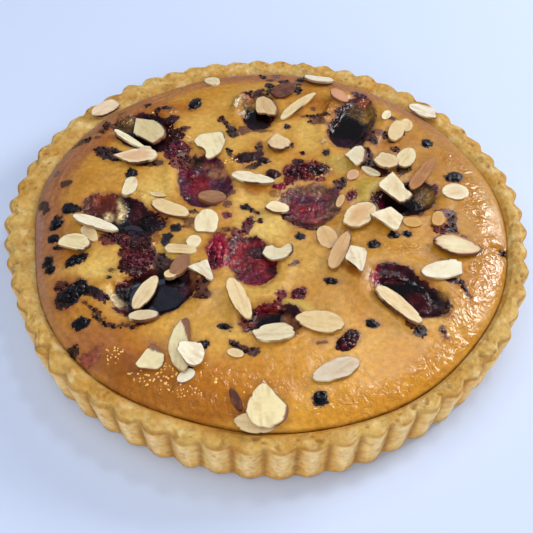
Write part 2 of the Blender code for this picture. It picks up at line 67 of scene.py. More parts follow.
# An oval is its middle's x and y, length, width and turn in degrees.
# Plum halves: name, oval, depth, dish
PLUMS = (
    ("plum_back_right", 48, 71, 50, 26, 72, 9.0, 2.2),
    ("plum_back", -7, 77, 34, 22, 95, 8.0, 1.8),
    ("plum_back_left", -71, 58, 38, 32, 135, 9.0, 1.8),
    ("plum_left_middle", -35, 19, 42, 29, 100, 10.0, 1.0),
    ("plum_middle", 22, 1, 31, 29, 20, 10.0, 1.0),
    ("plum_front_middle", -6.5, -36.5, 33, 25, 105, 10.0, 1.2),
    ("plum_right", 73, 9, 34, 26, 15, 9.0, 2.0),
    ("plum_left", -74, -9, 46, 26, -25, 9.0, 1.6),
    ("plum_front_left", -53, -57, 42, 30, 20, 10.0, 2.2),
    ("plum_front_right", 67, -53, 40, 27, -35, 9.0, 2.0),
    ("plum_front", 3, -72, 27, 19, -8, 7.0, 1.4),
)

# Whole berries: name, oval, depth, crown
BERRIES = (
    ("berry_middle", 19, 26, 23, 14, 10, 6.0, 2.4),
    ("berry_red", -25, -34, 23, 9, 86, 5.0, 2.0),
    ("berry_left", -91, -57, 15, 10, 45, 5.0, 2.6),
    ("berry_front", 37, -83.5, 13, 8.5, 45, 5.0, 2.8),
)

# Small berries baked into the filling: oval, crown, colour
SMALL_FRUIT = (
    (-12, 37, 17, 9, 20, 1.8, "wine"),
    (2, 23.5, 8, 7, -30, 1.8, "wine"),
    (100, 26.5, 12, 8, 15, 2.2, "ink"),
    (88, 54, 8, 6.5, 70, 2.4, "blue_ink"),
    (53, -25, 7, 6, 80, 2.0, "ink"),
    (64, -18.5, 6, 5.5, 0, 1.8, "ink"),
    (70.5, -17, 5.5, 5, 0, 1.8, "blue_ink"),
    (15.5, -57, 9, 8, 60, 2.0, "plum_red"),
    (24.5, -111, 8, 7, 50, 2.2, "blue_ink"),
    (49, -73, 6.5, 5.5, 0, 1.8, "blue_ink"),
    (31, -49, 8, 5, -10, 1.6, "blue_ink"),
    (-85, -75, 8, 7, 30, 2.2, "blue_ink"),
    (-103, -3.5, 9, 8, 0, 2.4, "blue_ink"),
    (-108, -13.5, 9, 7, 60, 2.2, "blue_ink"),
    (-94, -38, 11, 7, 30, 2.0, "blue_ink"),
    (-46, -17.5, 6.5, 5.5, -10, 1.8, "ink"),
    (-49.5, -25, 8, 5, 70, 1.8, "ink"),
    (43.5, 9, 9, 6, 60, 2.0, "wine_red"),
    (5.5, 13.5, 8, 5.5, -20, 2.0, "crimson"),
    (-44, 82.5, 13, 7, 70, 1.8, "ink"),
    (-57, 67, 11, 8, 35, 1.4, "wine"),
    (7.5, -58, 6, 5, 70, 1.4, "wine_red"),
    (-3, 34.5, 8, 5, -25, 1.4, "wine"),
    (31, 41, 5, 5, 0, 1.2, "ink"),
    (-12, -1.2, 5, 4.5, 0, 1.0, "ink"),
    (-21, -7.5, 5.5, 5, 0, 1.2, "wine_red"),
    (-18.5, -77, 6, 4, -10, 1.0, "ink"),
    (-28, -86.5, 6.5, 5, 0, 1.2, "ink"),
    (-107.5, -23, 6, 5, 0, 1.2, "blue_ink"),
    (-108, -37, 5.5, 6, 0, 1.2, "blue_ink"),
    (-106, -42.5, 5, 5.5, 30, 1.2, "blue_ink"),
    (9.5, 63, 4.2, 4, 0, 0.8, "blue_ink"),
    (16, -20.5, 5, 4.6, 0, 0.8, "blue_ink"),
    (-74, 23, 5.5, 8, 10, 0.8, "ink"),
    (-84, -56.5, 9, 6, -25, 1.2, "ink"),
    (-78, -61, 8, 4, -30, 0.8, "wine"),
)

# Small almond flakes baked into the filling: oval, tip, breaks, look
FUSED_FLAKES = (
    (-35.5, 108, 15, 10, -70, 0.3, (), "cream"),
    (78, 68.5, 13, 8, 80, 0.2, (), "cream_tan"),
    (99, 14.5, 15, 12, 20, 0.0, (), "cream_heart"),
    (-73.5, 12, 15, 10, 80, 0.2, ((175, 3),), "cream"),
    (-31, -13.5, 18, 12.5, 88, 0.0, ((268, 6.4),), "cream"),
    (30, -21, 15, 11, 110, 0.1, (), "tan"),
    (-42.5, -32, 16, 9, -3, 0.0, ((87, 3.2), (267, 3.2)), "cream_tan"),
    (-89, -21.5, 13, 7.5, -50, 0.2, (), "cream_tan"),
    (55, 28, 12, 5, -32, 0.0, (), "cream"),
    (67, 75.5, 10, 5, 65, 0.0, (), "cream"),
    (45, 24.5, 9, 6, 60, 0.0, (), "pink_tan"),
    (73.5, -10, 10, 6, 0, 0.0, (), "gold_tan"),
    (87, -6.5, 10, 7, 70, 0.0, (), "gold_tan"),
    (-42, -41.5, 14, 8, 60, 0.0, (), "brown"),
    (-29.5, 5.5, 15, 9, -5, 0.0, (), "brown"),
    (-36.5, -26.5, 8.5, 7.5, 70, 0.0, (), "cream"),
    (-46, -46.5, 7, 5, 20, 0.0, (), "cream_tan"),
    (37.5, 4, 9, 4, 70, 0.0, (), "tan"),
    (-57.5, 5.5, 9, 3.5, -10, 0.0, (), "cream_tan"),
    (-34, -102.5, 9, 5.5, 35, 0.0, (), "white"),
    (-13, -91, 8, 4.5, -15, 0.0, (), "cream_tan"),
    (-12, -113, 11, 4, 115, 0.0, (), "skin"),
)

# The share of a free flake that a broad band of brown skin covers, on its skin's side
BROAD_SKIN = {
    "almond_13": 0.30, "almond_32": 0.22, "almond_04": 0.14, "almond_38": 0.55, "almond_40": 0.5,
    "almond_42": 0.16, "almond_25": 0.16, "almond_27": 0.12, "almond_08": 0.14, "almond_19": 0.12,
}

# How each free flake looks: rim colour, heart colour, direction of its brown skin, its spread
FLAKE_LOOKS = {
    "almond_01": ("E9E0C6", "EDE5CC", 0, 0), "almond_02": ("C58A66", "CC9270", 0, 0),
    "almond_03": ("7A4C3C", "855646", 0, 360), "almond_04": ("E0C594", "D8BA88", 350, 60),
    "almond_05": ("E6D2A2", "DFC795", 300, 50), "almond_06": ("EFE9D4", "EDE6CE", 0, 0),
    "almond_07": ("E0CDB0", "DCC6A6", 315, 75), "almond_08": ("DDCFA2", "D6C593", 320, 95),
    "almond_09": ("F0E8C4", "EDE4BC", 0, 0), "almond_10": ("F0E2BE", "DDB48C", 280, 60),
    "almond_11": ("F0E4BC", "EEE0B4", 40, 25), "almond_12": ("E6CCA0", "E0C496", 275, 70),
    "almond_13": ("E9DEBE", "E2D4B0", 350, 75), "almond_14": ("E6D6AC", "DFCC9C", 0, 0),
    "almond_15": ("E0CBA2", "D6BC90", 100, 60), "almond_16": ("AC703A", "9C6430", 140, 60),
    "almond_17": ("EEE2C0", "E3D0A6", 300, 50), "almond_18": ("EEE5C8", "EBE0C0", 265, 50),
    "almond_19": ("EBD2A0", "E2C692", 240, 80), "almond_20": ("EEDFB8", "E8D4A8", 250, 60),
    "almond_21": ("EAD8AE", "D8AE7C", 60, 60), "almond_22": ("EFE4C2", "EADAB4", 0, 0),
    "almond_23": ("F2EBD0", "EFE6C8", 0, 0), "almond_24": ("EDE0B4", "E8D8A6", 330, 40),
    "almond_25": ("DDB482", "D6AC78", 25, 55), "almond_26": ("F2E9CC", "EFE4C2", 230, 40),
    "almond_27": ("DDBE94", "E5D8AE", 280, 160), "almond_28": ("F0E8CC", "EBE1C2", 0, 0),
    "almond_29": ("EEE3C2", "E8DAB4", 0, 30), "almond_30": ("F2EBD0", "EFE6C8", 215, 50),
    "almond_31": ("E6D3A8", "DFC89C", 0, 0), "almond_32": ("E9D9B4", "E0CBA2", 300, 90),
    "almond_33": ("E9D2A2", "E4CA98", 0, 0), "almond_34": ("EBDFBA", "E6D8B0", 0, 0),
    "almond_35": ("E4CB98", "DEC28C", 0, 0), "almond_36": ("EED9AC", "E8CF9E", 235, 70),
    "almond_37": ("DCCDB4", "D2C1A6", 0, 0), "almond_38": ("ECE0B4", "E8DAAA", 20, 75),
    "almond_39": ("F2ECD2", "F0E8CA", 0, 0), "almond_40": ("EEE0B4", "E9D8A8", 70, 50),
    "almond_41": ("E2CB9C", "DCC292", 0, 0), "almond_42": ("EFE0B0", "ECDCA8", -10, 70),
    "almond_43": ("E4CD9C", "DEC492", 0, 0),
}

# Straight breaks of the free flakes: heading in degrees and distance from the middle
CUTS = {
    "almond_04": ((250, 5.5),), "almond_06": ((0, 6.3),), "almond_08": ((180, 7.5), (231, 7.0), (74, 7.2)),
    "almond_10": ((116, 5.5), (237, 5.9)), "almond_12": ((52, 4.7), (150, 4.8)), "almond_13": ((136, 5.2),),
    "almond_17": ((29, 5.2), (222, 6.3)), "almond_20": ((150, 4.8),), "almond_24": ((250, 4.8),),
    "almond_26": ((20, 6.0),), "almond_34": ((205, 8.6),), "almond_39": ((-14, 5.6), (217, 4.4)),
    "almond_40": ((149, 3.4),), "almond_42": ((47, 6.4), (165, 9.2)),
    "almond_15": ((150, 5.4),), "almond_29": ((160, 6.5),), "almond_28": ((-5, 9.6),),
}

# Round bites out of the free flakes: x and y from the middle, and radius
BITES = {
    "almond_34": ((-8.4, 4.2, 2.6),),
    "almond_04": ((-1.5, -8.5, 3.6),), "almond_10": ((5.6, 5.2, 3.4),), "almond_11": ((-9.4, -8.0, 5.8),),
    "almond_17": ((9.0, 2.0, 4.6),), "almond_29": ((2.0, 5.8, 4.4),), "almond_22": ((6.6, -3.4, 2.6),),
    "almond_18": ((2.0, 6.0, 3.2),), "almond_21": ((7.4, -3.2, 2.2),),
    "almond_39": ((0.5, -9.6, 2.4),), "almond_28": ((6.0, 5.6, 2.2),),
}

# The looks of the small flakes: rim colour and heart colour
FUSED_LOOKS = {
    "cream": ("EFE3BE", "EADAB0"), "cream_tan": ("E8D2A2", "DFC490"), "white": ("F0EAD2", "ECE4C8"),
    "tan": ("DDBA88", "D2A974"), "cream_heart": ("EDE0BE", "DFC8A0"), "pink_tan": ("D8B08C", "C89A76"),
    "gold_tan": ("D2A458", "C8964A"), "skin": ("7A4632", "6A3C2C"), "brown": ("8E6046", "966A4C"),
}

# Colours of fruit, filling, crust, almonds and surroundings, sRGB, among them painted highlights, sheens,
# reflections and shade
COLOURS = {
    "floor": "BECBE5", "room": "E4EAF4", "cream": "D6AA50", "bright_cream": "E2BE64", "amber": "A86208",
    "light_amber": "C08620", "deep_amber": "8C4E00", "tan": "9C5E36", "pink_tan": "A87250",
    "grey_sheen": "A08080", "olive": "A8861E", "pale_olive": "C4A648", "burnt": "8A4A12",
    "red_brown": "7E4030", "ink": "150A0E", "blue_ink": "0E0D15", "slate": "3E4656",
    "wine": "330810", "wine_red": "600C16", "plum_red": "5A1024", "crimson": "84102A",
    "purple": "3E1A30", "dark_purple": "200C1A", "jam": "560C22", "pool": "070305",
    "flesh_brown": "4E3412", "flesh_olive": "6A4C18", "flesh_cream": "BEA67A", "burnt_red": "4E1606",
    "rust": "8E4208", "ember": "6A280A", "maroon": "44162A", "dark_red": "701018", "tan_brown": "85583A",
    "baked_gold": "BC8024", "baked_straw": "CB983C", "right_amber": "A8701E", "dark_streak": "84502C",
    "glaze": "B67628", "bled_rim": "74382E", "bled_halo": "84481E", "speck": "8A5418",
    "crust_gold": "C4923E", "crust_straw": "CFAA5E", "crust_patch": "B4782A", "crust_pale": "E6CC90",
    "crust_tip": "AC6A1A", "crust_brow_highlight": "EBCB86", "crust_groove_shade": "8E5A1C", "crust_comb": "E9CC96",
    "crust_crest_highlight": "EBCF98", "crust_pit_shade": "8E5A20", "crust_crease_shade": "8A5A26", "crust_foot": "B57E34",
    "crust_run": "AE7218", "almond_cloud": "CFA068", "almond_fibre": "BE9462", "almond_edge_skin_and_shadow": "8E5C38",
    "almond_skin": "643828", "almond_broad_skin": "744634", "syrup": "EEC070",
    "pale": "E8D2A8", "brick": "641E28", "murk": "6A4430", "skin_brown": "6E3E2C", "crease": "6A3C10",
}

# Broad tones of the filling: colour, oval, strength
TONES = (
    ("cream", -60, 14, 26, 26, 0, 0.8), ("bright_cream", -60, 8, 14, 14, 0, 0.6),
    ("cream", -84, -40, 30, 22, 10, 0.9), ("bright_cream", -78, -44, 18, 10, 20, 0.6),
    ("cream", -6, 8, 32, 20, 0, 0.8), ("bright_cream", -3, -14, 26, 22, 10, 0.8),
    ("cream", 22, 57, 18, 26, 0, 0.9), ("cream", -26, 50, 24, 14, 10, 0.7),
    ("cream", -14, 56, 18, 10, 0, 0.6), ("cream", -33, 62, 30, 20, 20, 0.5),
    ("cream", -2, -55, 24, 10, 5, 0.8), ("pale_olive", 13, -66, 13, 8, -20, 0.8),
    ("pale_olive", 52, 13, 14, 18, 0, 0.9), ("pale_olive", 37, 33, 16, 14, 0, 0.6),
    ("cream", 84, -66, 16, 22, 0, 0.7), ("pale_olive", 82, -60, 8, 14, 10, 0.5),
    ("cream", -15, -79, 16, 9, 0, 0.6), ("cream", 15, -34, 34, 26, 0, 0.5),
    ("cream", 70, -26, 30, 12, 0, 0.4), ("cream", -36, -8, 14, 10, 0, 0.6),
    ("cream", -70, -66, 22, 8, -35, 0.9), ("bright_cream", -72, -62, 14, 4, -40, 0.7),
    ("olive", -47, -38, 15, 20, 20, 0.95), ("olive", -41, -28, 12, 10, 0, 0.5),
    ("olive", 36, 32, 15, 12, 0, 0.6), ("olive", 46, 17, 12, 12, 0, 0.4),
    ("amber", -62, 77, 34, 16, 8, 0.8), ("amber", -74, 84, 22, 12, -20, 0.6),
    ("amber", -95, 50, 22, 16, 30, 0.8), ("amber", -98, 16, 26, 14, 30, 0.4),
    ("light_amber", -95, 30, 30, 16, 20, 0.5), ("light_amber", -46, 95, 40, 12, -5, 0.5),
    ("amber", 29, 88, 16, 24, 20, 0.8), ("light_amber", 34, 96, 18, 10, 0, 0.6),
    ("amber", 64, 52, 24, 16, 10, 0.7), ("amber", 80, 56, 16, 14, 30, 0.5),
    ("amber", 87, 36, 14, 26, -30, 0.6), ("light_amber", 100, 44, 20, 26, 0, 0.5),
    ("light_amber", 90, 20, 20, 14, 0, 0.5), ("amber", 57, 32, 20, 12, -20, 0.6),
    ("amber", -8, 13, 20, 6, -8, 0.8), ("deep_amber", 41, -40, 12, 7, -40, 0.9),
    ("light_amber", 62, -24, 34, 14, 0, 0.5), ("light_amber", 75, -30, 30, 12, 0, 0.5),
    ("amber", -98, -33, 16, 8, 0, 0.6), ("burnt", -115, -10, 12, 22, 0, 0.5),
    ("burnt", -96, -52, 12, 12, 20, 0.6), ("amber", -94, -64, 14, 10, 40, 0.7),
    ("light_amber", -78, -72, 30, 12, -30, 0.6), ("amber", -70, -84, 34, 16, -20, 0.6),
    ("amber", -45, -100, 60, 24, -15, 0.8), ("deep_amber", -36, -112, 60, 18, -12, 0.9),
    ("deep_amber", -62, -102, 34, 14, -35, 0.8), ("amber", -6, -103, 40, 22, 0, 0.6),
    ("deep_amber", -16, -117, 30, 12, -5, 0.7), ("light_amber", 40, -110, 60, 20, 18, 0.6),
    ("light_amber", 10, -95, 50, 16, 0, 0.4), ("light_amber", 100, -10, 24, 50, 0, 0.4),
    ("light_amber", 60, -88, 50, 16, 30, 0.4), ("amber", 44, 58, 8, 8, 0, 0.4),
    ("amber", 12, 72, 16, 8, 0, 0.5), ("light_amber", -18, 66, 12, 24, 30, 0.6),
    ("deep_amber", 30, 108, 24, 8, 0, 0.6), ("deep_amber", 86, 78, 16, 8, -40, 0.8),
    ("tan", -76, -83, 22, 13, -30, 0.5),
    ("red_brown", -79, -93, 13, 10, -10, 0.4), ("red_brown", -60, -96, 16, 8, -30, 0.25),
    ("rust", 85, -66, 7, 4.5, 0, 0.7), ("amber", 91, -10, 4, 4, 0, 0.7),
)

# Stains where fruit bled into the filling, and a few painted highlights and reflections on them: colour,
# oval, strength
STAINS = (
    ("ink", -72, 81.5, 5, 3.5, 0, 0.9), ("wine", -65, 75.5, 4.5, 5, 0, 0.9),
    ("ink", -60, 77.5, 6, 4.5, 0, 0.95), ("wine", -58, 61.5, 4, 4, 0, 0.9),
    ("wine", -53, 54, 12, 10, -45, 0.95), ("wine", -49, 58, 8, 5, 30, 0.9),
    ("dark_purple", -55, 46, 10, 10, 0, 0.95), ("jam", -51, 40, 15, 17, -30, 0.95),
    ("wine", -46, 34, 8, 10, 0, 0.8), ("jam", -50, 31, 8, 8, 20, 0.8),
    ("dark_purple", -88, 38, 20, 9, -28, 0.95), ("dark_purple", -92, 41, 10, 7, -40, 0.9),
    ("dark_purple", -66, 31, 16, 5, 5, 0.8), ("blue_ink", -107, 51, 14, 6, 25, 0.9),
    ("ink", -102, 54, 4, 3, 0, 0.8), ("wine", -95, 59, 5, 6, 30, 0.8),
    ("wine", -93, 65, 4, 9, 25, 0.8), ("wine", -97, 53, 4, 3, 0, 0.7),
    # Slate spots are painted reflections on the dark juice.
    ("slate", -114.5, 25.5, 3.5, 4, 0, 0.8), ("blue_ink", -108, 15.5, 5.5, 6, 0, 0.8),
    ("blue_ink", -118, 2, 8, 6, -50, 0.85), ("blue_ink", -115, -3, 4, 6, 0, 0.85),
    ("ink", -99, -4, 6, 5, 0, 0.8), ("ink", -108, -9, 3, 4, 0, 0.8),
    ("ink", -103, -28.5, 6, 4, 0, 0.9), ("blue_ink", -90, -35.5, 7, 5, 10, 0.9),
    ("wine", -98, -53, 7, 6, 20, 0.8), ("ink", -96, -63, 6, 6, 40, 0.9),
    ("ink", -80, -58, 14, 5, -28, 0.9), ("wine", -82, -66, 9, 2.2, -35, 0.7),
    ("wine", -78, -69, 10, 2.6, -40, 0.8), ("ink", -77, -73, 9, 2.6, -32, 0.85),
    ("ink", -70.5, -76.5, 8, 2.6, -14, 0.85), ("wine", -63, -77.6, 11, 2.2, 3, 0.8),
    ("wine", -57, -75.6, 6, 2.2, 25, 0.8), ("wine", -75, -45, 4.5, 3, 0, 0.7),
    ("ink", -75, -49, 3, 3, 0, 0.8), ("ink", -86.5, -88.5, 5, 6, 40, 0.9),
    ("ink", -13, -86, 6, 4, -35, 0.9), ("wine", -9, -88.5, 7, 3.4, -25, 0.9),
    ("wine", -5, -89.5, 6, 4.4, 10, 0.9), ("purple", 25.5, -83.5, 6, 2, 10, 0.7),
    ("wine_red", 5, -63, 6, 3.6, 50, 0.9), ("purple", 13.5, -38.5, 6, 3, 30, 0.8),
    ("wine", -7, -4, 5.5, 3.4, -45, 0.9), ("wine", -8.8, -2.6, 4, 3, -30, 0.8),
    ("purple", -21, 0, 5, 4.5, 0, 0.7), ("purple", -19, 8.6, 5, 2.6, 30, 0.7),
    ("wine", -8.5, -10, 4, 5, 0, 0.9), ("wine", -4, -10.5, 4, 3, 20, 0.85),
    ("jam", -10, -15, 6, 11, -25, 0.95), ("wine_red", -16, -19.5, 9, 4.5, -20, 0.9),
    ("wine", -21, -17, 5, 4, 0, 0.6), ("ink", -22, 40, 3.4, 7, 12, 0.9),
    ("dark_purple", -9, 30, 10, 4.4, 32, 0.85), ("dark_purple", -6, 45, 3.6, 9, -12, 0.8),
    ("wine", -6, 40, 5, 5, 0, 0.7), ("ink", -26, 66.5, 10, 3.6, -58, 0.9),
    ("wine", -28, 68.5, 5, 5, 0, 0.85), ("ink", -22, 60, 8, 4.6, -60, 0.95),
    ("dark_purple", -21, 57, 7, 7, 0, 0.9), ("purple", -14, 58.5, 8, 6, 0, 0.7),
    ("maroon", -5, 58.5, 12, 4, 0, 0.6), ("ink", 24, 68.3, 4.4, 3.6, 0, 0.9),
    ("maroon", 28.5, 69, 12, 6, -30, 0.7), ("wine", 23, 74.5, 12, 3, 0, 0.8),
    ("wine", 30, 74.5, 10, 4, 10, 0.9), ("wine", 25.5, 81.5, 4, 4, 0, 0.6),
    ("wine", 17.5, 40.5, 3, 3.4, 0, 0.9), ("ink", 12.5, 47, 2.6, 4, 20, 0.9),
    ("dark_purple", 38, 17, 7, 9, -35, 0.9), ("purple", 35, 12, 5, 8, -10, 0.85),
    ("dark_purple", 40, 20, 5, 5, 0, 0.85), ("dark_purple", 57, 57, 6, 14, 10, 0.9),
    ("maroon", 60, 60, 9, 6, 0, 0.7), ("wine", 66, 58, 6, 6, 0, 0.85),
    ("wine", 68, 54, 5, 4, 30, 0.7), ("wine", 69.5, 47.5, 6, 3.6, 30, 0.85),
    ("wine", 71, 46, 5, 3, 0, 0.8), ("ink", 75.5, 60, 4, 3, 30, 0.8),
    ("dark_purple", 70, 74, 5, 3.6, -10, 0.85), ("wine", 53, 38, 8, 15, -20, 0.9),
    ("ink", 55, 33, 9, 9, 0, 0.85), ("wine", 61, 28, 12, 8, -30, 0.85),
    ("ink", 73, 31, 7, 12, -30, 0.85), ("dark_purple", 50, 46, 10, 5, 0, 0.8),
    ("wine_red", 88, -12, 9, 8, 0, 0.85), ("maroon", 92, -1.5, 10, 5, 10, 0.9),
    ("wine", 94.5, -7, 4.4, 14, 0, 0.9), ("ink", 93.5, -13.5, 7, 4, -20, 0.95),
    ("maroon", 88, -3, 6, 6, 0, 0.75), ("ink", 99, -16.5, 5, 2, -20, 0.7),
    ("rust", 107, -23.5, 2.6, 2.4, 0, 0.8), ("ink", 119.5, -22, 3.6, 5, 0, 0.9),
    ("wine", 90, -46, 12, 4, -12, 0.95), ("wine", 95.5, -51, 3, 8, 15, 0.85),
    ("ink", 71, -76, 7.5, 6.5, 10, 0.95), ("wine", 67, -72.5, 6, 5, 0, 0.8),
    ("ink", 86, -61, 3.6, 2.4, 0, 0.85), ("wine", 82.5, -74, 3.4, 4.4, 20, 0.85),
    ("jam", 83, -77.5, 3, 3.4, 20, 0.6), ("ink", -5, 114, 3.4, 8, 8, 0.8),
    ("red_brown", -79, -92.5, 10, 7.5, -10, 0.9), ("red_brown", -75.5, -88, 5, 4, 30, 0.75),
    ("wine_red", 11, 18, 7, 8, 20, 0.95), ("wine", 16, 33, 6, 6, 0, 0.95),
    ("wine_red", 24, 33, 5, 5, 0, 0.9), ("wine", 30, 29, 5, 7, -30, 0.9),
    ("wine_red", 27, 20, 8, 4, 0, 0.8),
    # Slate spots are painted reflections on the dark juice.
    ("slate", 3.5, 116.5, 6, 9, 0, 0.8), ("ink", -0.5, 109.5, 6, 4, 0, 0.7),
    ("ink", -0.5, 101, 6, 8, 0, 0.95), ("dark_purple", 8, 108, 8, 5, 0, 0.85),
    ("slate", 15, 105, 6, 3.4, 0, 0.8), ("ink", 16, 99, 4.6, 10, -10, 0.95),
    ("ink", 18.5, 111.5, 5, 9, -25, 0.85), ("wine", -14.5, 92.5, 6, 4.6, 0, 0.9),
    ("wine", -8, 95.5, 9, 3.6, 10, 0.95), ("ink", -1, 95, 5, 5, 0, 0.9),
    # The pale streaks at x about -18 are painted highlights on the back plum's juice; the pale spot at
    # -70.5, -62 is plum flesh.
    ("rust", -15, 90, 5, 3, 0, 0.6), ("pale", -19.3, 84.5, 3.2, 9, -12, 0.85),
    ("pale", -17.5, 75.5, 2.2, 6, -12, 0.7), ("pale", -70.5, -62, 3, 6, 40, 0.7),
    ("pale", 29.5, 50.5, 3, 4, 0, 0.6), ("jam", 3, 8, 6, 5, 0, 0.35),
    ("wine", 9, -8, 5, 5, 0, 0.8), ("wine", 20, -14.5, 10, 3.4, -8, 0.9),
    ("wine", 14, -12, 6, 4, -30, 0.9), ("wine", 26.5, -12.5, 4, 4, 0, 0.7),
    ("wine", 7.5, 4.5, 5, 2.6, 30, 0.7), ("wine", -40, -12, 9, 4.4, 0, 0.7),
    ("wine", -40.5, -16, 5, 4, 0, 0.6), ("dark_purple", -38, -6.5, 5, 3.6, 20, 0.8),
    ("dark_purple", -67, -24, 20, 12, 0, 0.98), ("wine", -66, -33, 13, 14, 10, 0.98),
    ("wine", -59, -31, 9, 15, 15, 0.95), ("wine", -64, -42, 16, 12, 0, 0.98),
    ("jam", -71, -29, 4, 12, 10, 0.9), ("dark_purple", -52, -39, 12, 8, -25, 0.9),
    ("jam", -77, -25, 14, 7, 0, 0.85), ("wine", -79, -22.5, 8, 4, 0, 0.85),
    ("burnt", -85, -17, 10, 4, -20, 0.6), ("jam", -62, -38, 14, 8, 0, 0.95),
    ("wine", -30, -58, 8, 7, 0, 0.9), ("wine", -31, -52, 9, 8, 0, 0.8),
    ("burnt", -55, -25, 4, 8, 0, 0.5), ("wine", -33.5, -44, 5, 8, 0, 0.6),
    ("wine", -7, -70, 6, 7, 0, 0.85), ("jam", -9, -75, 6, 4, 20, 0.8),
    ("wine", 12, -74, 5, 10, 25, 0.6), ("wine", 10, -82, 10, 3, 25, 0.5),
    ("wine", -57, -71, 8, 5, 0, 0.6), ("ink", -34, -98, 6, 5, 0, 0.9),
)

# Colours over the fruit, one of them a painted reflection: colour, oval, wetness
FRUIT_TONES = (
    ("flesh_brown", 55, 84, 20, 20, 70, 0.45), ("wine", 50, 94, 18, 6, 30, 0.5),
    ("ember", 56, 90, 9, 7, 40, 0.5), ("flesh_olive", 57, 79, 7, 16, -20, 0.4),
    ("flesh_brown", 58, 66, 4, 18, -20, 0.6), ("wine", 44, 86, 8, 6, 60, 0.9),
    ("dark_purple", 42, 54, 14, 8, 0, 0.9),
    ("flesh_olive", -12, 87, 12, 12, 0, 0.4), ("flesh_brown", -2, 90, 12, 8, 0, 0.4),
    ("dark_purple", -10, 65, 16, 6, 0, 0.9), ("flesh_brown", -4, 62, 14, 4, 10, 0.8),
    ("flesh_brown", -83, 67, 9, 18, 10, 0.6), ("flesh_olive", -80, 72, 4, 12, 10, 0.5),
    ("wine", -76, 72, 5, 10, 10, 0.8), ("dark_purple", -58, 48, 10, 14, 0, 0.9),
    ("maroon", -35, 18, 60, 40, 0, 0.55), ("wine", -43, 35, 16, 14, 0, 1.0),
    ("pool", -40, 33, 8, 8, 0, 1.0), ("rust", -47, 36, 3.6, 6, 0, 0.9),
    ("jam", -47, 27, 8, 12, -20, 1.0), ("tan_brown", -26, 25, 14, 7, -5, 0.5),
    ("skin_brown", -30, 31, 16, 5, 0, 0.6), ("dark_red", -37, 15, 12, 14, 0, 0.7),
    ("wine_red", -38, 22, 12, 8, 0, 0.9), ("jam", -42, 12, 4, 12, 10, 0.8),
    ("skin_brown", -30, 5, 13, 10, 0, 0.7), ("flesh_cream", -28.5, 6, 6.4, 5.4, 0, 0.6),
    ("wine", -44, 5, 7, 8, 0, 0.9), ("maroon", -23, 16, 10, 12, 0, 0.5),
    ("brick", 20, 0, 40, 40, 0, 0.5), ("murk", 25, 14, 20, 9, 0, 0.5),
    ("murk", 35, 2, 9, 24, -10, 0.6), ("murk", 13, 13, 8, 5, 0, 0.5),
    ("flesh_olive", 31, -10, 12, 4, 20, 0.6), ("dark_red", 20, 0, 9, 5, 0, 0.8),
    ("wine", 8, -6, 8, 8, 0, 0.8), ("maroon", 18, 7, 12, 5, 0, 0.5), ("wine", 16, -10, 18, 5, -8, 0.7),
    ("maroon", 29, 6, 7, 3, -40, 0.6), ("murk", 27, -5, 8, 2.4, 30, 0.6),
    ("dark_red", -7, -38, 40, 30, 0, 0.6), ("wine", -3, -30, 16, 10, 0, 0.7),
    ("plum_red", -10, -47, 22, 10, 0, 0.6), ("wine", -19, -34, 3, 22, -12, 0.8),
    ("wine", 3, -42, 6, 12, 20, 0.8),
    ("flesh_brown", 84, 13, 14, 20, 15, 0.45), ("flesh_olive", 85, 12, 6, 12, 15, 0.4),
    ("wine", 85, 21.5, 10, 4, 0, 0.7), ("maroon", 90, 15, 3, 12, 10, 0.6),
    ("maroon", 86, 2.5, 12, 2.6, 45, 0.6), ("jam", 58.5, 5, 3, 10, 10, 1.0),
    ("burnt_red", -87, 1, 24, 22, 0, 0.35), ("ember", -88, 3, 9, 7, 20, 0.3),
    ("burnt_red", -86, 3, 5, 4, 20, 0.3), ("flesh_cream", -76.5, -4, 6, 14, 10, 0.9),
    ("flesh_cream", -82, -8, 6, 6, 0, 0.8), ("burnt_red", -79, -3, 3, 12, 10, 0.5),
    ("wine", -68, -6, 7, 14, 0, 0.9), ("dark_purple", -64, -22, 14, 7, 0, 0.9),
    ("dark_purple", -56, -13, 7, 10, 0, 0.8),
    ("wine", -63, -45, 22, 14, 0, 0.95), ("wine_red", -68, -48, 9, 8, 30, 1.0),
    # The blue_ink patch at -46, -59 is a painted reflection in the front-left plum's pool.
    ("pool", -61, -50, 10, 8, 0, 1.0), ("blue_ink", -46, -59, 15, 17, 20, 0.75),
    ("flesh_cream", -69.5, -62, 3.4, 9, 40, 0.9), ("jam", -67, -66, 5, 5, 0, 1.0),
    ("wine", -36, -53, 10, 9, 0, 0.8), ("dark_purple", -36, -60, 8, 8, 0, 0.7),
    ("wine", 59, -42, 18, 9, -10, 0.9), ("crimson", 52, -44, 4, 12, -10, 0.9),
    ("pool", 68, -56, 20, 10, -35, 1.0), ("wine", 74, -58, 14, 10, -35, 1.0),
    ("flesh_olive", 87, -53, 8, 7, 0, 0.5),
    ("wine", -3, -66, 12, 8, 0, 1.0), ("dark_red", 0, -65, 12, 3, 0, 0.9),
    ("dark_purple", 12, -77, 5, 12, 30, 0.8), ("jam", -9, -74, 6, 5, 0, 0.9),
    ("wine_red", 19, 26, 30, 20, 0, 0.8), ("wine", 13, 22, 9, 12, 0, 0.9),
    ("wine", 25, 29, 9, 9, 0, 0.9), ("rust", 26, 23, 8, 3, 0, 0.7),
    ("crimson", -25, -34, 14, 34, 0, 0.8), ("jam", -27, -38, 5, 14, 0, 0.8),
    ("blue_ink", -91, -57, 18, 18, 0, 0.8), ("wine", -95, -52, 8, 6, 0, 0.8),
    ("wine", 37, -83.5, 20, 16, 0, 0.9), ("jam", 35, -87, 5, 3, 0, 0.9),
)

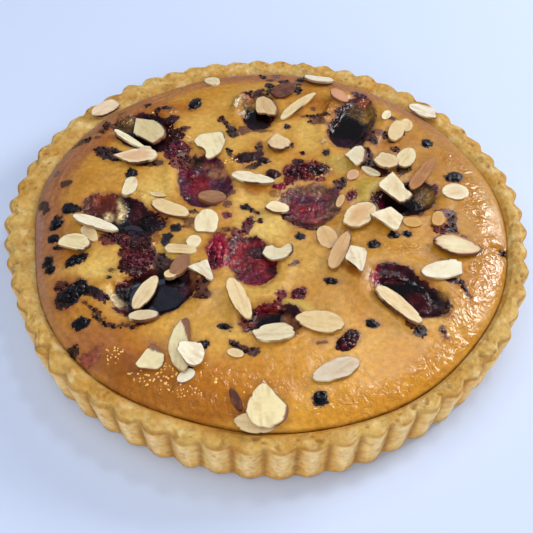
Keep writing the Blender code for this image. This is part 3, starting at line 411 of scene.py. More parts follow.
# Level pools of juice: ovals
POOLS = (
    (44, 63, 28, 19, 65), (-7, 71, 20, 16, 90), (-66, 52, 24, 18, 135), (-41, 36, 9, 7, 0),
    (-67, -17, 14, 9, -25), (-51, -57, 32, 22, 20), (66, -54, 28, 17, -35), (3, -72, 20, 12, -8),
    (67, 8, 20, 18, 15),
)

# Glassy wrinkled glaze on the filling: ovals
GLAZE_PATCHES = (
    (108, 12, 40, 17, 95), (104, 38, 20, 10, 120), (101, -46, 56, 20, 62), (80, -88, 40, 16, 40),
    (44, -112, 56, 12, 16), (-40, -112, 60, 12, -14), (-20, -102, 40, 10, -5), (66, -26, 16, 5, 0),
    (-92, 60, 26, 8, 40), (-60, 100, 26, 5, 24),
)

# Rippled juice that glints: ovals
RIPPLES = (
    (-64, -44, 16, 9, 20), (-69, -57, 5, 12, 30), (36, 78, 9, 24, -24), (40, 88, 14, 6, 20),
    (-46, 44, 8, 8, 0), (-43, 32, 10, 8, 0), (-41, 24, 4, 10, 0), (1, -67, 16, 5, 0),
    (-19.5, -30, 3, 14, -12), (60, -44, 10, 5, 0), (-84, 70, 8, 14, 0), (-19, 82, 6, 14, -10),
    (-76, -2, 6, 16, 10), (-67, -25, 12, 8, 0), (-60, -12, 12, 10, 0), (88, -12, 8, 6, 0), (-69, 5, 8, 8, 0),
    (-63, -33, 16, 20, 10), (-51, 47, 12, 22, -15), (-60, 76, 10, 8, 0), (57, 57, 8, 12, 0),
)

# The stain round each small berry, and the stain colours that hold loose berry cells
BERRY_STAINS = tuple((colour, *oval, 1.0) for *oval, _, colour in SMALL_FRUIT)
CELL_COLOURS = ("wine", "wine_red", "plum_red", "jam", "crimson", "dark_purple", "ink")

# Clusters of syrup drops: x, y, length, width, largest drop
DROPS = (
    (-46, -101, 28, 12, 0.65), (-36, -109, 20, 6, 0.5), (-20, -104.5, 4, 3, 1.0),
    (-67, -92, 12, 9, 0.5), (8, -107, 5, 4, 0.45), (-6, -110, 6, 3, 0.5),
    (-27, -97, 4, 3, 0.5), (-22, 33.5, 10, 4, 0.7), (26.5, 22.6, 7, 4, 0.6),
    (34.5, 28.2, 3, 2, 0.7), (8.8, 77.5, 3.4, 3, 1.0), (-67.5, 72, 4, 6, 0.7),
    (56.5, 91, 6, 6, 0.55), (-57, 60, 6, 10, 0.45), (27, 34, 8, 4, 0.4),
)

# Lights: name, azimuth, elevation, distance, size, power, colour, and whether it shows in gloss
LIGHTS = (
    ("window", 27, 27, 1.5, 0.55, 17, "FFFFFF", True),
    ("skylight", 42, 66, 1.6, 0.24, 4.0, "EEF3FF", True),
    ("back_window", 62, 44, 1.6, 0.18, 1.5, "FFFFFF", True),
    ("pale_wall", 110, 55, 1.6, 0.5, 0.9, "B8CCF4", True),
    ("ceiling", 190, 72, 1.6, 1.3, 12, "FAFBFF", False),
    ("front_fill", 272, 30, 1.7, 1.4, 18, "FFFBF4", False),
)

# The camera, fitted to the rim in the photograph's frame of 533 by 533: place in metres,
# turns in radians and focal length in the frame's own pixels
CAMERA_PLACE = (-0.000113, -0.289452, 0.332805)
CAMERA_TILT, CAMERA_ROLL = 0.8750426, 0.0236815
CAMERA_REACH, FRAME_WIDTH, SENSOR_WIDTH = 800, 533, 36.0

# Cells of the materials' patterns in millimetres: crumbs at the edge of a stain, and creases
# of the glaze, which are drawn a little coarser than real ones so that they show
CRUMB_CELL, CREASE_CELL = 1.9, 4.6

# Whole numbers that scramble a lattice corner into a random value
CORNER_STEPS = np.array((73856093, 19349663, 83492791))
SEED_STEP, SCRAMBLE = 7919, 1274126177


def linear(code):
    """Linear colour of an sRGB hex code."""
    channels = np.array([int(code[i:i + 2], 16) for i in (0, 2, 4)]) / 255
    return np.where(channels <= 0.04045, channels / 12.92, ((channels + 0.055) / 1.055) ** 2.4)


SHADES = {name: linear(code) for name, code in COLOURS.items()}


def scrambled(corner, seed):
    """A random-looking whole number for each corner of a cubic lattice."""
    key = corner @ CORNER_STEPS + seed * SEED_STEP
    return (key ^ (key >> 13)) * SCRAMBLE


def lattice(points, cell, seed):
    """Smooth random field from -1 to 1: values on a cubic lattice, blended between its corners."""
    place = points / cell
    base = np.floor(place).astype(np.int64)
    part = place - base
    part = part * part * (3 - 2 * part)
    total = np.zeros(points.shape[:-1])
    for corner in range(8):
        step = np.array([corner & 1, corner >> 1 & 1, corner >> 2 & 1])
        key = scrambled(base + step, seed)
        value = ((key ^ (key >> 16)) & 65535) / 32767.5 - 1
        total += value * np.prod(np.where(step, part, 1 - part), axis=-1)
    return total


def noise(points, cell, seed, layers=3):
    """Sum of lattice fields, each of half the cell and half the height of the one before."""
    total = sum(lattice(points, cell / 2 ** i, seed + i) / 2 ** i for i in range(layers))
    return total / (2 - 2 ** (1 - layers))


def bobbles(points, cell, seed):
    """Rounded cells: 1 at each of a jittered lattice's points, 0 between them."""
    place = points / cell
    base = np.floor(place).astype(np.int64)
    nearest = np.full(points.shape[:-1], 9.0)
    for index in range(27):
        corner = base + np.array([index % 3, index // 3 % 3, index // 9]) - 1
        key = scrambled(corner, seed)
        jitter = np.stack([((key >> shift) & 255) / 255 for shift in (3, 11, 19)], axis=-1)
        nearest = np.minimum(nearest, np.linalg.norm(place - corner - 0.2 - 0.6 * jitter, axis=-1))
    return np.sqrt(np.clip(1 - (nearest / 0.75) ** 2, 0, 1))


def ease(low, high, value):
    """Smooth step from 0 at low to 1 at high, which may be the lower of the two."""
    share = np.clip((value - low) / (high - low), 0, 1)
    return share * share * (3 - 2 * share)


def swelling(angle, middle, spread):
    """Smooth hump of height 1 at the middle direction, by its spread, both in degrees."""
    aside = (np.degrees(angle) - middle + 180) % 360 - 180
    return np.exp(-(aside / spread) ** 2)


def in_space(x, y, z=0.0):
    """Points from their coordinates."""
    return np.stack(np.broadcast_arrays(x, y, z), axis=-1).astype(float)


def blend(colour, mask, other):
    """Colours moved towards another colour by a mask."""
    return colour + mask[..., None] * (other - colour)


def layered(tint, *layers):
    """Colours under layers laid one over another, each a mask and the name of its colour."""
    for mask, name in layers:
        tint = blend(tint, mask, SHADES[name])
    return tint


def edge_radius(angle):
    """Radius of the filling's edge, a little towards the front and dented at its left."""
    shift = EDGE_SHIFT * np.cos(angle - EDGE_SHIFT_DIRECTION)
    waves = 0.5 * np.sin(5 * angle + 1.0) + 0.3 * np.sin(11 * angle)
    return EDGE_RADIUS + shift + waves - EDGE_DENT * swelling(angle, 196, 16)


def along_aside(x, y, oval):
    """Places along and aside of an oval's heading, from its middle."""
    angle = math.radians(oval[4])
    along = (x - oval[0]) * math.cos(angle) + (y - oval[1]) * math.sin(angle)
    aside = (y - oval[1]) * math.cos(angle) - (x - oval[0]) * math.sin(angle)
    return along, aside


def in_plan(along, aside, oval):
    """The way back: x and y of places along and aside of an oval's heading."""
    angle = math.radians(oval[4])
    return (oval[0] + along * math.cos(angle) - aside * math.sin(angle),
            oval[1] + along * math.sin(angle) + aside * math.cos(angle))


def oval_share(x, y, oval):
    """Distance from an oval's middle as a share of its reach, 1 on its outline."""
    along, aside = along_aside(x, y, oval)
    return np.hypot(along / (oval[2] / 2), aside / (oval[3] / 2))


def oval_gap(x, y, oval):
    """Rough distance in millimetres outside an oval, and below 0 inside it."""
    return (oval_share(x, y, oval) - 1) * min(oval[2:4]) / 2


def fruit_outline(angle):
    """Uneven outline of a piece of fruit, as a share of its ellipse."""
    return 1 + 0.05 * np.sin(2 * angle + 1.1) + 0.04 * np.sin(3 * angle + 0.3)


def fruit_gap(x, y, oval):
    """Rough distance in millimetres outside a fruit's uneven outline, and below 0 inside it."""
    along, aside = along_aside(x, y, oval)
    around = np.arctan2(aside / oval[3], along / oval[2])
    return (oval_share(x, y, oval) / fruit_outline(around) - 1) * min(oval[2:4]) / 2


def dome(x, y):
    """Smooth top of the filling: steep at the edge, then nearly level, with broad swells."""
    share = np.clip(np.hypot(x, y) / edge_radius(np.arctan2(y, x)), 0, 1)
    puff = PUFF_HEIGHT * (1 - share ** 9) ** 0.6 + CROWN_HEIGHT * (1 - share ** 2)
    swell = 0.6 * np.sin(x / 19 + 0.8) * np.sin(y / 16 - 0.4)
    return EDGE_HEIGHT + puff + swell * (1 - share ** 4)


def filling_height(x, y):
    """Top of the filling: the dome with a lip round each plum, fine relief and wrinkled skin."""
    height = dome(x, y)
    angle = np.arctan2(y, x)
    radius = np.hypot(x, y)
    share = np.clip(radius / edge_radius(angle), 0, 1)
    for _, *oval, _, _ in PLUMS:
        lip = np.exp(-((oval_share(x, y, oval) - 1.3) / 0.24) ** 2)
        height = height + 1.1 * lip * (1 - share ** 8)
    spot = in_space(x, y)
    inner = ease(1.0, 0.97, share)
    height = height + inner * (0.35 * noise(spot, 9, 3) + 0.13 * noise(spot, 2.4, 5, 2))
    height = height - 3.0 * swelling(angle, -10.5, 1.2) * ease(0.88, 0.97, share) * inner
    height = height + 1.4 * swelling(angle, 248, 40) * ease(0.975, 1.0, share)
    side = ease(-0.2, 0.5, 0.5 * np.sin(angle) - np.cos(angle))
    folds = noise(in_space(radius / 2.0, np.degrees(angle) / 14), 1.0, 8, 2)
    height = height + ease(0.74, 0.92, share) * inner * side * 0.5 * folds
    crumple = noise(spot + 3 * in_space(noise(spot, 7, 21), noise(spot, 7, 25)), 4.0, 12, 2)
    return height + glaze_share(x, y) * inner * 0.5 * np.abs(crumple)


def glaze_share(x, y):
    """How far the skin is glassy and wrinkled, in ragged patches mostly at the right and front."""
    ragged = 3.5 * noise(in_space(x, y), 14, 17, 3)
    share = np.zeros(x.shape)
    for oval in GLAZE_PATCHES:
        share = np.maximum(share, ease(4.0, -4.0, oval_gap(x, y, oval) + ragged))
    return share


def pool_share(x, y):
    """Where juice stands in level pools, which have ragged edges."""
    ragged = 1.1 * noise(in_space(x, y), 5, 31, 3)
    pool = np.zeros(x.shape)
    for oval in POOLS:
        pool = np.maximum(pool, ease(0.8, -1.4, oval_gap(x, y, oval) + ragged))
    return pool


def top_height(x, y):
    """The filling's top with each plum's sunken flesh and its level pools of juice."""
    height = filling_height(x, y)
    smooth = dome(x, y)
    spot = in_space(x, y)
    ragged = 1.1 * noise(spot, 5, 31, 3)
    flesh = 0.6 * noise(spot, 4.0, 161, 3) + 0.15 * noise(spot, 1.4, 165, 2)
    pool = pool_share(x, y)
    for _, *oval, _, dish in PLUMS:
        gap = fruit_gap(x, y, oval) + ragged
        sunk = smooth - 0.8 - dish * ease(-0.3, -5.0, gap) + flesh * (1 - pool)
        level = dome(np.array(oval[0]), np.array(oval[1])) - 0.8 - dish
        height = height + ease(1.0, -1.6, gap) * (sunk + pool * (level - sunk) - height)
    return height


def baked_tint(x, y, spot, glaze):
    """The filling's own colour, and how brown its skin is.

    Clouds of two golds carry the broad tones. Towards the rim the skin at the
    back, the left and the far corner turns brown, then pink, and its grey band
    at the very rim is a painted sheen. The front is painted lighter and the
    crease at the edge darker: painted light and painted shade.
    """
    angle = np.arctan2(y, x)
    share = np.hypot(x, y) / edge_radius(angle)
    moved = x + 5 * noise(spot, 14, 41, 3), y + 5 * noise(spot, 14, 45, 3)
    cloud = ease(-0.6, 0.6, noise(spot, 22, 111, 3))
    tint = layered(SHADES["baked_gold"] + np.zeros(x.shape + (3,)), (cloud, "baked_straw"))
    for name, *oval, strength in TONES:
        gap = oval_gap(*moved, oval) / (min(oval[2:4]) / 2)
        tint = layered(tint, (min(1.15 * strength, 1.0) * ease(0.65, -0.6, gap), name))
    rough = 0.03 * noise(spot, 12, 121, 3)
    back, left, corner = swelling(angle, 95, 40), swelling(angle, 172, 38), swelling(angle, 50, 20)
    skin = np.clip(0.95 * back + 0.95 * left + 0.8 * corner, 0, 1)
    inset = 0.82 + 0.01 * back + 0.03 * corner
    brown = skin * ease(inset, inset + 0.09, share + rough)
    amber = swelling(angle, 10, 50) * ease(0.6, 0.8, share + rough)
    pink = np.clip(0.8 * left + 0.5 * corner, 0, 1) * ease(0.88, 0.97, share + rough)
    # The grey band at the very rim is a painted sheen.
    grey_sheen_mask = np.clip(0.9 * back + 0.7 * left, 0, 1) * ease(0.955, 0.99, share + 0.5 * rough)
    streak = noise(in_space(np.hypot(x, y) / 2.4, np.degrees(angle) / 9), 1.0, 131, 2)
    streak = ease(0.1, 0.6, streak) * ease(0.84, 0.93, share) * skin
    tint = layered(tint, (0.92 * brown, "tan"), (0.5 * amber, "right_amber"), (pink, "pink_tan"),
                   (grey_sheen_mask, "grey_sheen"), (0.4 * streak, "dark_streak"), (0.45 * glaze, "glaze"))
    # The front is painted lighter, as lit, and the crease at the edge darker: painted light and painted
    # shade.
    front = swelling(angle, 285, 45) * ease(0.5, 0.8, share)
    edge = ease(0.993, 1.0, share) * (0.2 + 0.8 * ease(-0.2, 0.5, np.cos(angle + 0.6)))
    return layered(tint * (0.86 + 0.2 * front)[..., None], (0.45 * edge, "crease")), brown


def top_look(x, y):
    """Colours, juice and gloss of the whole top, the same on the filling and on the fruit.

    tint is the filling's colour, with a painted sheen, painted light and painted
    shade at its rim, front and crease, and juice the fruit's or a stain's, some
    of it painted highlights and reflections, with its strength as a fourth
    value. field is above a half where juice covers the filling and falls over
    3 mm, wet and juicy are the gloss of the two, and wrinkle is where the skin
    is crumpled.
    """
    angle = np.arctan2(y, x)
    share = np.hypot(x, y) / edge_radius(angle)
    spot = in_space(x, y)
    glaze = glaze_share(x, y)
    tint, brown = baked_tint(x, y, spot, glaze)
    moved = x + 1.5 * noise(spot, 5, 141, 3), y + 1.5 * noise(spot, 5, 145, 3)
    ragged = 2.4 * noise(spot, 10, 147, 2) + 1.1 * noise(spot, 3.5, 151, 3)
    near = np.full(x.shape, 9.0)
    for _, *oval, _, _ in PLUMS + BERRIES:
        near = np.minimum(near, fruit_gap(*moved, oval) + ragged)
    field = 0.5 - near / 3
    juice = SHADES["wine"] * ease(-4.5, 0.5, near)[..., None]
    juice = juice + SHADES["pool"] * ease(0.5, -4.5, near)[..., None]
    strength = np.ones(x.shape)
    juicy = 0.75 + 0.25 * ease(-0.5, -3.0, near)
    for name, *oval, gloss in FRUIT_TONES:
        mask = ease(1.6, -1.6, oval_gap(*moved, oval)) * ease(2.2, 0.6, near)
        juice = blend(juice, mask, SHADES[name])
        juicy = juicy + mask * (gloss - juicy)
    far = near
    for name, *oval, depth in STAINS + BERRY_STAINS:
        gap = oval_gap(*moved, oval)
        mask = ease(1.8, 0.0, gap)
        juice = blend(juice, mask, SHADES[name])
        strength = strength + mask * (depth - strength)
        juicy = juicy + mask * (0.82 - juicy)
        field = np.maximum(field, 0.5 - gap / 3)
        far = np.minimum(far, gap)
    swirl = noise(spot + 4 * in_space(noise(spot, 9, 171), noise(spot, 9, 173)), 1.7, 175, 2)
    juice = juice * (1 - 0.5 * ease(0.0, -0.5, swirl) + 0.8 * ease(0.2, 0.6, swirl))[..., None]
    halo = ease(2.0, -0.6, far + 0.8 * noise(spot, 3, 157, 2))
    speck = ease(0.45, 0.7, noise(spot, 1.5, 177, 2))
    tint = layered(tint, (0.45 * ease(2.6, -0.6, near), "bled_rim"), (0.45 * halo, "bled_halo"),
                   (0.25 * speck, "speck"))
    syrup = swelling(angle, 258, 40) * ease(0.62, 0.78, share)
    ripple = np.zeros(x.shape)
    for oval in RIPPLES:
        ripple = np.maximum(ripple, ease(1.2, -1.2, oval_gap(*moved, oval)))
    juicy = np.maximum(juicy, ripple)
    wet = np.clip(0.5 + 0.5 * glaze + 0.3 * syrup - 0.25 * brown, 0, 1)
    juice = np.concatenate((juice, strength[..., None]), axis=-1)
    wrinkle = 0.15 + 0.85 * glaze + 2.0 * ripple + 0.3 * brown + 0.5 * ease(1.0, -1.0, near)
    wrinkle = wrinkle * (1 - pool_share(x, y))
    return {"tint": tint, "juice": juice, "field": field, "wet": wet, "juicy": juicy, "wrinkle": wrinkle}


def plain_look(colour, wet):
    """The same values for a piece that is fruit all over, in its own colours."""
    juice = np.concatenate((colour.clip(0, 1), np.ones(colour.shape[:-1] + (1,))), axis=-1)
    flat = np.zeros(colour.shape[:-1])
    return {"tint": colour.clip(0, 1), "juice": juice, "field": flat + 2, "wet": flat + wet,
            "juicy": flat + wet, "wrinkle": flat}


def shell(rings, **values):
    """Closed surface through rings of points, as its points, faces and values.

    The first and the last ring shrink to their middles. Neighbouring rings are
    joined by quads, and each end point to its ring by a fan of triangles.
    """
    count = rings.shape[1]

    def flat(array):
        first, last = array[:1].mean(axis=1), array[-1:].mean(axis=1)
        return np.concatenate((first, array[1:-1].reshape((-1,) + array.shape[2:]), last))

    here = np.arange(count)
    after = np.roll(here, -1)
    starts = 1 + count * np.arange(rings.shape[0] - 3)[:, None]
    quads = (starts + here, starts + count + here, starts + count + after, starts + after)
    quads = np.stack(quads, axis=-1).reshape(-1, 4)
    final = 1 + count * (rings.shape[0] - 3)
    points = flat(rings)
    top = np.stack((0 * here, 1 + here, 1 + after), axis=-1)
    under = np.stack((final + here, 0 * here + len(points) - 1, final + after), axis=-1)
    return points, quads, np.concatenate((top, under)), {name: flat(array) for name, array in values.items()}


def make_piece(name, shells, finish, slot, *nodes):
    """One object from one or more shells, which rides on the tart and stands for the nodes."""
    points, faces, first = [], [], 0
    for shell_points, quads, fans, _ in shells:
        points.append(shell_points)
        faces += (quads + first).tolist() + (fans + first).tolist()
        first += len(shell_points)
    mesh = bpy.data.meshes.new(name)
    mesh.from_pydata(np.concatenate(points) * MM, [], faces)
    for key in shells[0][3]:
        value = np.concatenate([values[key] for *_, values in shells])
        if value.ndim == 2:
            value = np.column_stack((value, np.ones(len(value))))[:, :4].clip(0, 1)
            layer = mesh.attributes.new(key, "FLOAT_COLOR", "POINT")
            layer.data.foreach_set("color", value.ravel())
        else:
            layer = mesh.attributes.new(key, "FLOAT", "POINT")
            layer.data.foreach_set("value", value)
    mesh.shade_smooth()
    mesh.materials.append(finish)
    piece = bpy.data.objects.new(name, mesh)
    bpy.context.scene.collection.objects.link(piece)
    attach(piece, "root")
    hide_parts(*nodes)
    return piece


def add(tree, kind, settings, links=()):
    """Add a node with its settings, which are properties or input values, and its links."""
    node = tree.nodes.new(kind)
    for key, value in settings.items():
        if isinstance(key, str) and hasattr(node, key):
            setattr(node, key, value)
        else:
            node.inputs[key].default_value = value
    for socket, source in links:
        tree.links.new(source, node.inputs[socket])
    return node


def make_finish(name, mottle, mottle_cell, grain_cell, grain_height, rough, stained, shader_settings):
    """A material whose colours are the piece's attributes, mottled, with a fine grain in its bump.

    mottle is how far the colour varies, the cells are the sizes of the mottling
    and the grain in millimetres, and rough gives the roughness where the piece
    is dry and where it is wet. On a stained piece juice covers the tint where
    the field is over a half, and a fine noise makes its edge crumbly.
    """
    material = bpy.data.materials.new(name)
    material.use_nodes = True
    tree = material.node_tree
    shader = tree.nodes["Principled BSDF"]
    for key, value in shader_settings.items():
        shader.inputs[key].default_value = value
    place = add(tree, "ShaderNodeTexCoord", {}).outputs["Object"]
    colour = add(tree, "ShaderNodeAttribute", {"attribute_name": "tint"}).outputs["Color"]
    wet = add(tree, "ShaderNodeAttribute", {"attribute_name": "wet"}).outputs["Fac"]
    grain = add(tree, "ShaderNodeTexNoise", {"Scale": 1 / (grain_cell * MM), "Detail": 3.0,
                "Roughness": 0.6}, [("Vector", place)])
    dry = add(tree, "ShaderNodeMapRange", {"From Min": 1.0, "From Max": 0.5,
              "To Min": 0.1 * grain_height, "To Max": grain_height}, [("Value", wet)]).outputs["Result"]
    height = add(tree, "ShaderNodeMath", {"operation": "MULTIPLY"},
                 [(0, grain.outputs["Fac"]), (1, dry)]).outputs["Value"]
    if stained:
        coarse = add(tree, "ShaderNodeTexNoise", {"Scale": 1 / (CRUMB_CELL * MM), "Detail": 4.0,
                     "Roughness": 0.7}, [("Vector", place)]).outputs["Fac"]
        field = add(tree, "ShaderNodeAttribute", {"attribute_name": "field"}).outputs["Fac"]
        field = add(tree, "ShaderNodeMath", {"operation": "MULTIPLY_ADD", 1: 1.5},
                    [(0, coarse), (2, field)]).outputs["Value"]
        cover = add(tree, "ShaderNodeMapRange", {"interpolation_type": "SMOOTHSTEP",
                    "From Min": 1.20, "From Max": 1.36}, [("Value", field)]).outputs["Result"]
        juice = add(tree, "ShaderNodeAttribute", {"attribute_name": "juice"})
        part = add(tree, "ShaderNodeMath", {"operation": "MULTIPLY"},
                   [(0, cover), (1, juice.outputs["Alpha"])]).outputs["Value"]
        colour = add(tree, "ShaderNodeMix", {"data_type": "RGBA"},
                     [(0, part), (6, colour), (7, juice.outputs["Color"])]).outputs[2]
        juicy = add(tree, "ShaderNodeAttribute", {"attribute_name": "juicy"}).outputs["Fac"]
        wet = add(tree, "ShaderNodeMix", {}, [(0, cover), (2, wet), (3, juicy)]).outputs[0]
        dull = add(tree, "ShaderNodeMapRange", {"From Min": 0.98, "From Max": 0.8,
                   "To Min": 0.0, "To Max": 0.35}, [("Value", juicy)]).outputs["Result"]
        crumbs = add(tree, "ShaderNodeMath", {"operation": "MULTIPLY"},
                     [(0, cover), (1, dull)]).outputs["Value"]
        height = add(tree, "ShaderNodeMath", {"operation": "MULTIPLY_ADD"},
                     [(0, coarse), (1, crumbs), (2, height)]).outputs["Value"]
        wrinkle = add(tree, "ShaderNodeAttribute", {"attribute_name": "wrinkle"}).outputs["Fac"]
        crease = add(tree, "ShaderNodeTexNoise", {"Scale": 1 / (CREASE_CELL * MM), "Detail": 3.0,
                     "Roughness": 0.45, "Distortion": 1.3}, [("Vector", place)]).outputs["Fac"]
        crease = add(tree, "ShaderNodeMath", {"operation": "MULTIPLY"},
                     [(0, crease), (1, wrinkle)]).outputs["Value"]
        height = add(tree, "ShaderNodeMath", {"operation": "MULTIPLY_ADD", 1: 1.5},
                     [(0, crease), (2, height)]).outputs["Value"]
    cloud = add(tree, "ShaderNodeTexNoise", {"Scale": 1 / (mottle_cell * MM), "Detail": 4.0},
                [("Vector", place)])
    shade = add(tree, "ShaderNodeMapRange", {"From Min": 0.3, "From Max": 0.7,
                "To Min": 1 - mottle, "To Max": 1 + mottle * 0.6}, [("Value", cloud.outputs["Fac"])])
    colour = add(tree, "ShaderNodeVectorMath", {"operation": "SCALE"},
                 [(0, colour), ("Scale", shade.outputs["Result"])]).outputs["Vector"]
    bump = add(tree, "ShaderNodeBump", {"Strength": 1.0, "Distance": MM}, [("Height", height)])
    smooth = add(tree, "ShaderNodeMapRange", {"To Min": rough[0], "To Max": rough[1]}, [("Value", wet)])
    tree.links.new(colour, shader.inputs["Base Color"])
    tree.links.new(smooth.outputs["Result"], shader.inputs["Roughness"])
    tree.links.new(bump.outputs["Normal"], shader.inputs["Normal"])
    return material


def build_crust(finish):
    """The fluted cup: a turned profile with a lobed wall, a flat crumbly ledge and a sharp brow."""
    crease = EDGE_RADIUS + GAP
    profile = np.array((
        (0, FLOOR_THICKNESS), (FLOOR_RADIUS, FLOOR_THICKNESS), (crease, 25.1),
        (LIP_RADIUS, 27.0), (CREST_RADIUS, CREST_HEIGHT), (BROW_RADIUS, 27.5),
        (134.5, 26.3), (RIM_RADIUS, 24.6), (132.2, 1.2), (FOOT_RADIUS, 0), (0, 0)))
    rows = (3, 5, 7, 9, 8, 5, 4, 32, 3, 3)
    steps = np.concatenate([i + np.arange(count) / count for i, count in enumerate(rows)] + [[10.0]])
    reach = np.interp(steps, np.arange(11), profile[:, 0])[:, None]
    level = np.interp(steps, np.arange(11), profile[:, 1])[:, None]
    angle = np.linspace(-math.pi, math.pi, CRUST_COLUMNS, endpoint=False)[None, :]
    place = angle / (2 * math.pi / FLUTES) - 0.5
    lobe = np.round(place)
    aside = 2 * (place - lobe)
    lobe_shape = 0.5 * (1 - aside ** 2) + 0.25 * (1 + np.cos(math.pi * aside))
    dice = np.random.default_rng(11)
    lobe_size = np.clip(1 + 0.14 * dice.standard_normal(FLUTES), 0.7, 1.35)
    lobe_size[20:22] = 1.5
    lobe_lift = 0.4 * dice.standard_normal(FLUTES)
    index = lobe.astype(int) % FLUTES
    outer = np.clip((reach - LIP_RADIUS) / (RIM_RADIUS - LIP_RADIUS), 0, 1)
    bulge = FLUTE_DEPTH * (lobe_size[index] * lobe_shape - FLUTE_MIDDLE)
    slow = 0.7 * np.sin(2 * angle + 0.7) + 0.4 * np.sin(7 * angle)
    slow = slow - 1.6 * swelling(angle, 0, 35) + 3.0 * swelling(angle, 148, 22)
    slow = slow - 4.0 * swelling(angle, 206, 15)
    foot = 2.4 * swelling(angle, 280, 22) * np.clip(1 - level / CREST_HEIGHT, 0, 1)
    inner = np.clip((CREST_RADIUS - reach) / (CREST_RADIUS - crease), 0, 1)
    inner = np.where(reach > FLOOR_RADIUS / 2, inner, 0)
    radius = reach + outer * (bulge + slow) + inner * (edge_radius(angle) - EDGE_RADIUS)
    radius = radius + foot * (reach > FLOOR_RADIUS + 2)
    top = np.clip((level - EDGE_HEIGHT) / (CREST_HEIGHT - EDGE_HEIGHT), 0, 1)
    height = level + top * (lobe_lift[index] * lobe_shape * outer + 0.5 * np.sin(3 * angle + 2))
    height = height + 1.1 * swelling(angle, 252, 50) * inner * ease(20.0, 25.0, level)
    wall = (reach > CREST_RADIUS) * ease(26.6, 24.6, level)
    angle = angle + FIRST_FLUTE_TURN * outer
    spot = in_space(radius * np.cos(angle), radius * np.sin(angle), height)
    seen = ease(EDGE_RADIUS - 1, EDGE_RADIUS + 2, reach) * ease(0.0, 2.0, level)
    lump, crumb = noise(spot, 7, 71, 2), noise(spot, 2.4, 75, 3)
    pit = ease(0.35, 0.6, noise(spot, 3.4, 81, 2))
    comb = noise(in_space(np.degrees(angle) * 2.3 / 1.5, level / 7), 1.0, 85, 2)
    brow = np.exp(-((outer - 0.86) / 0.08) ** 2) * top
    height = height + top * (1 - wall) * seen * (0.8 * lump + 0.6 * crumb - 0.8 * pit) + 0.35 * brow
    radius = radius + wall * seen * (0.25 * lump + 0.12 * crumb + 0.22 * comb - 0.2 * pit)
    radius = radius + 0.5 * brow * noise(spot, 4, 89, 2)
    rings = in_space(radius * np.cos(angle), radius * np.sin(angle), height)

    cloud = ease(-0.5, 0.6, noise(rings, 12, 91, 3))
    patch = ease(0.0, 0.6, noise(rings, 6, 99, 3)) * (1 - 0.6 * wall)
    pale = ease(-0.05, 0.6, noise(rings, 5, 107, 3)) * (0.65 - 0.25 * wall)
    tips = ease(0.86, 0.97, outer) * (1 - 0.85 * wall) * ease(-0.7, 0.4, noise(rings, 9, 95, 2))
    # front sets how strong the painted shade in the crease is, strongest at the front right.
    front = 0.15 + 0.85 * ease(-0.2, 0.5, np.cos(angle + 0.6))
    tint = layered(
        SHADES["crust_gold"] + np.zeros(rings.shape),
        (cloud, "crust_straw"), (0.45 * patch, "crust_patch"), (pale, "crust_pale"),
        (0.65 * tips, "crust_tip"),
        # The raised brow is painted lighter: painted highlight.
        (0.35 * brow * ease(-0.2, 0.5, crumb), "crust_brow_highlight"),
        # Grooves between the flutes are painted darker: painted shade.
        (0.7 * wall * ease(0.45, 0.0, lobe_shape), "crust_groove_shade"),
        (0.35 * wall * ease(0.1, 0.6, comb) * lobe_shape, "crust_comb"),
        # Flute crests are painted lighter: painted highlight.
        (0.6 * wall * lobe_shape ** 2 * ease(0.0, 12.0, level), "crust_crest_highlight"),
        # Pits are painted darker: painted shade.
        (0.45 * pit * seen, "crust_pit_shade"),
        # The crease by the filling is painted darker: painted shade.
        (0.55 * ease(0.9, 1.0, inner) * front, "crust_crease_shade"),
        (0.5 * wall * ease(5.0, 1.0, level), "crust_foot"))
    # The wall is painted lighter and the top darker at the left: painted light and painted shade.
    tint = tint * (0.86 + 0.3 * wall - 0.1 * swelling(angle, 180, 55) * (1 - wall))[..., None]
    run = swelling(angle, 265, 32) * ease(0.1, 0.7, inner + 0.35 * noise(rings, 7, 109, 2)) * (1 - wall)
    tint = layered(tint, (0.6 * run * (reach > FLOOR_RADIUS), "crust_run"))
    wet = np.maximum(0.6 * ease(0.2, 0.7, noise(rings, 12, 103, 2)) * (1 - wall), run) * seen
    make_piece("baked_crust", [shell(rings, tint=tint, wet=wet)], finish, "crust", "crust")


def build_filling(finish):
    """The frangipane: a polar grid over the top with hollows for the fruit, a wall and a flat base."""
    steps = np.linspace(0, 1, 134)
    angle = np.linspace(-math.pi, math.pi, FILLING_COLUMNS, endpoint=False)[None, :]
    uneven = 0.35 * noise(in_space(np.cos(angle), np.sin(angle)) * EDGE_RADIUS, 8, 7)
    uneven = uneven - 2.4 * swelling(angle, -10.5, 1.4)
    radius = (1 - (1 - steps) ** 1.3)[:, None] * (edge_radius(angle) + uneven)
    x, y = radius * np.cos(angle), radius * np.sin(angle)
    z = top_height(x, y)
    hollow = np.zeros(x.shape)
    for _, *oval, _, _ in PLUMS + BERRIES:
        hollow = np.maximum(hollow, ease(-0.6, -2.6, fruit_gap(x, y, oval)))
    z = z - 6 * hollow
    under = np.array(((1.0, -2.5), (0.985, -6.0), (0.96, -12.0), (0.935, -18.5), (0.5, -19.0), (0.0, -19.0)))
    low_x, low_y = under[:, :1] * x[-1:], under[:, :1] * y[-1:]
    low_z = np.maximum(EDGE_HEIGHT + under[:, 1:] + 0 * low_x, FLOOR_THICKNESS + GAP)
    rings = in_space(np.vstack((x, low_x)), np.vstack((y, low_y)), np.vstack((z, low_z)))
    make_piece("baked_filling", [shell(rings, **top_look(rings[..., 0], rings[..., 1]))],
               finish, "frangipane", "frangipane")


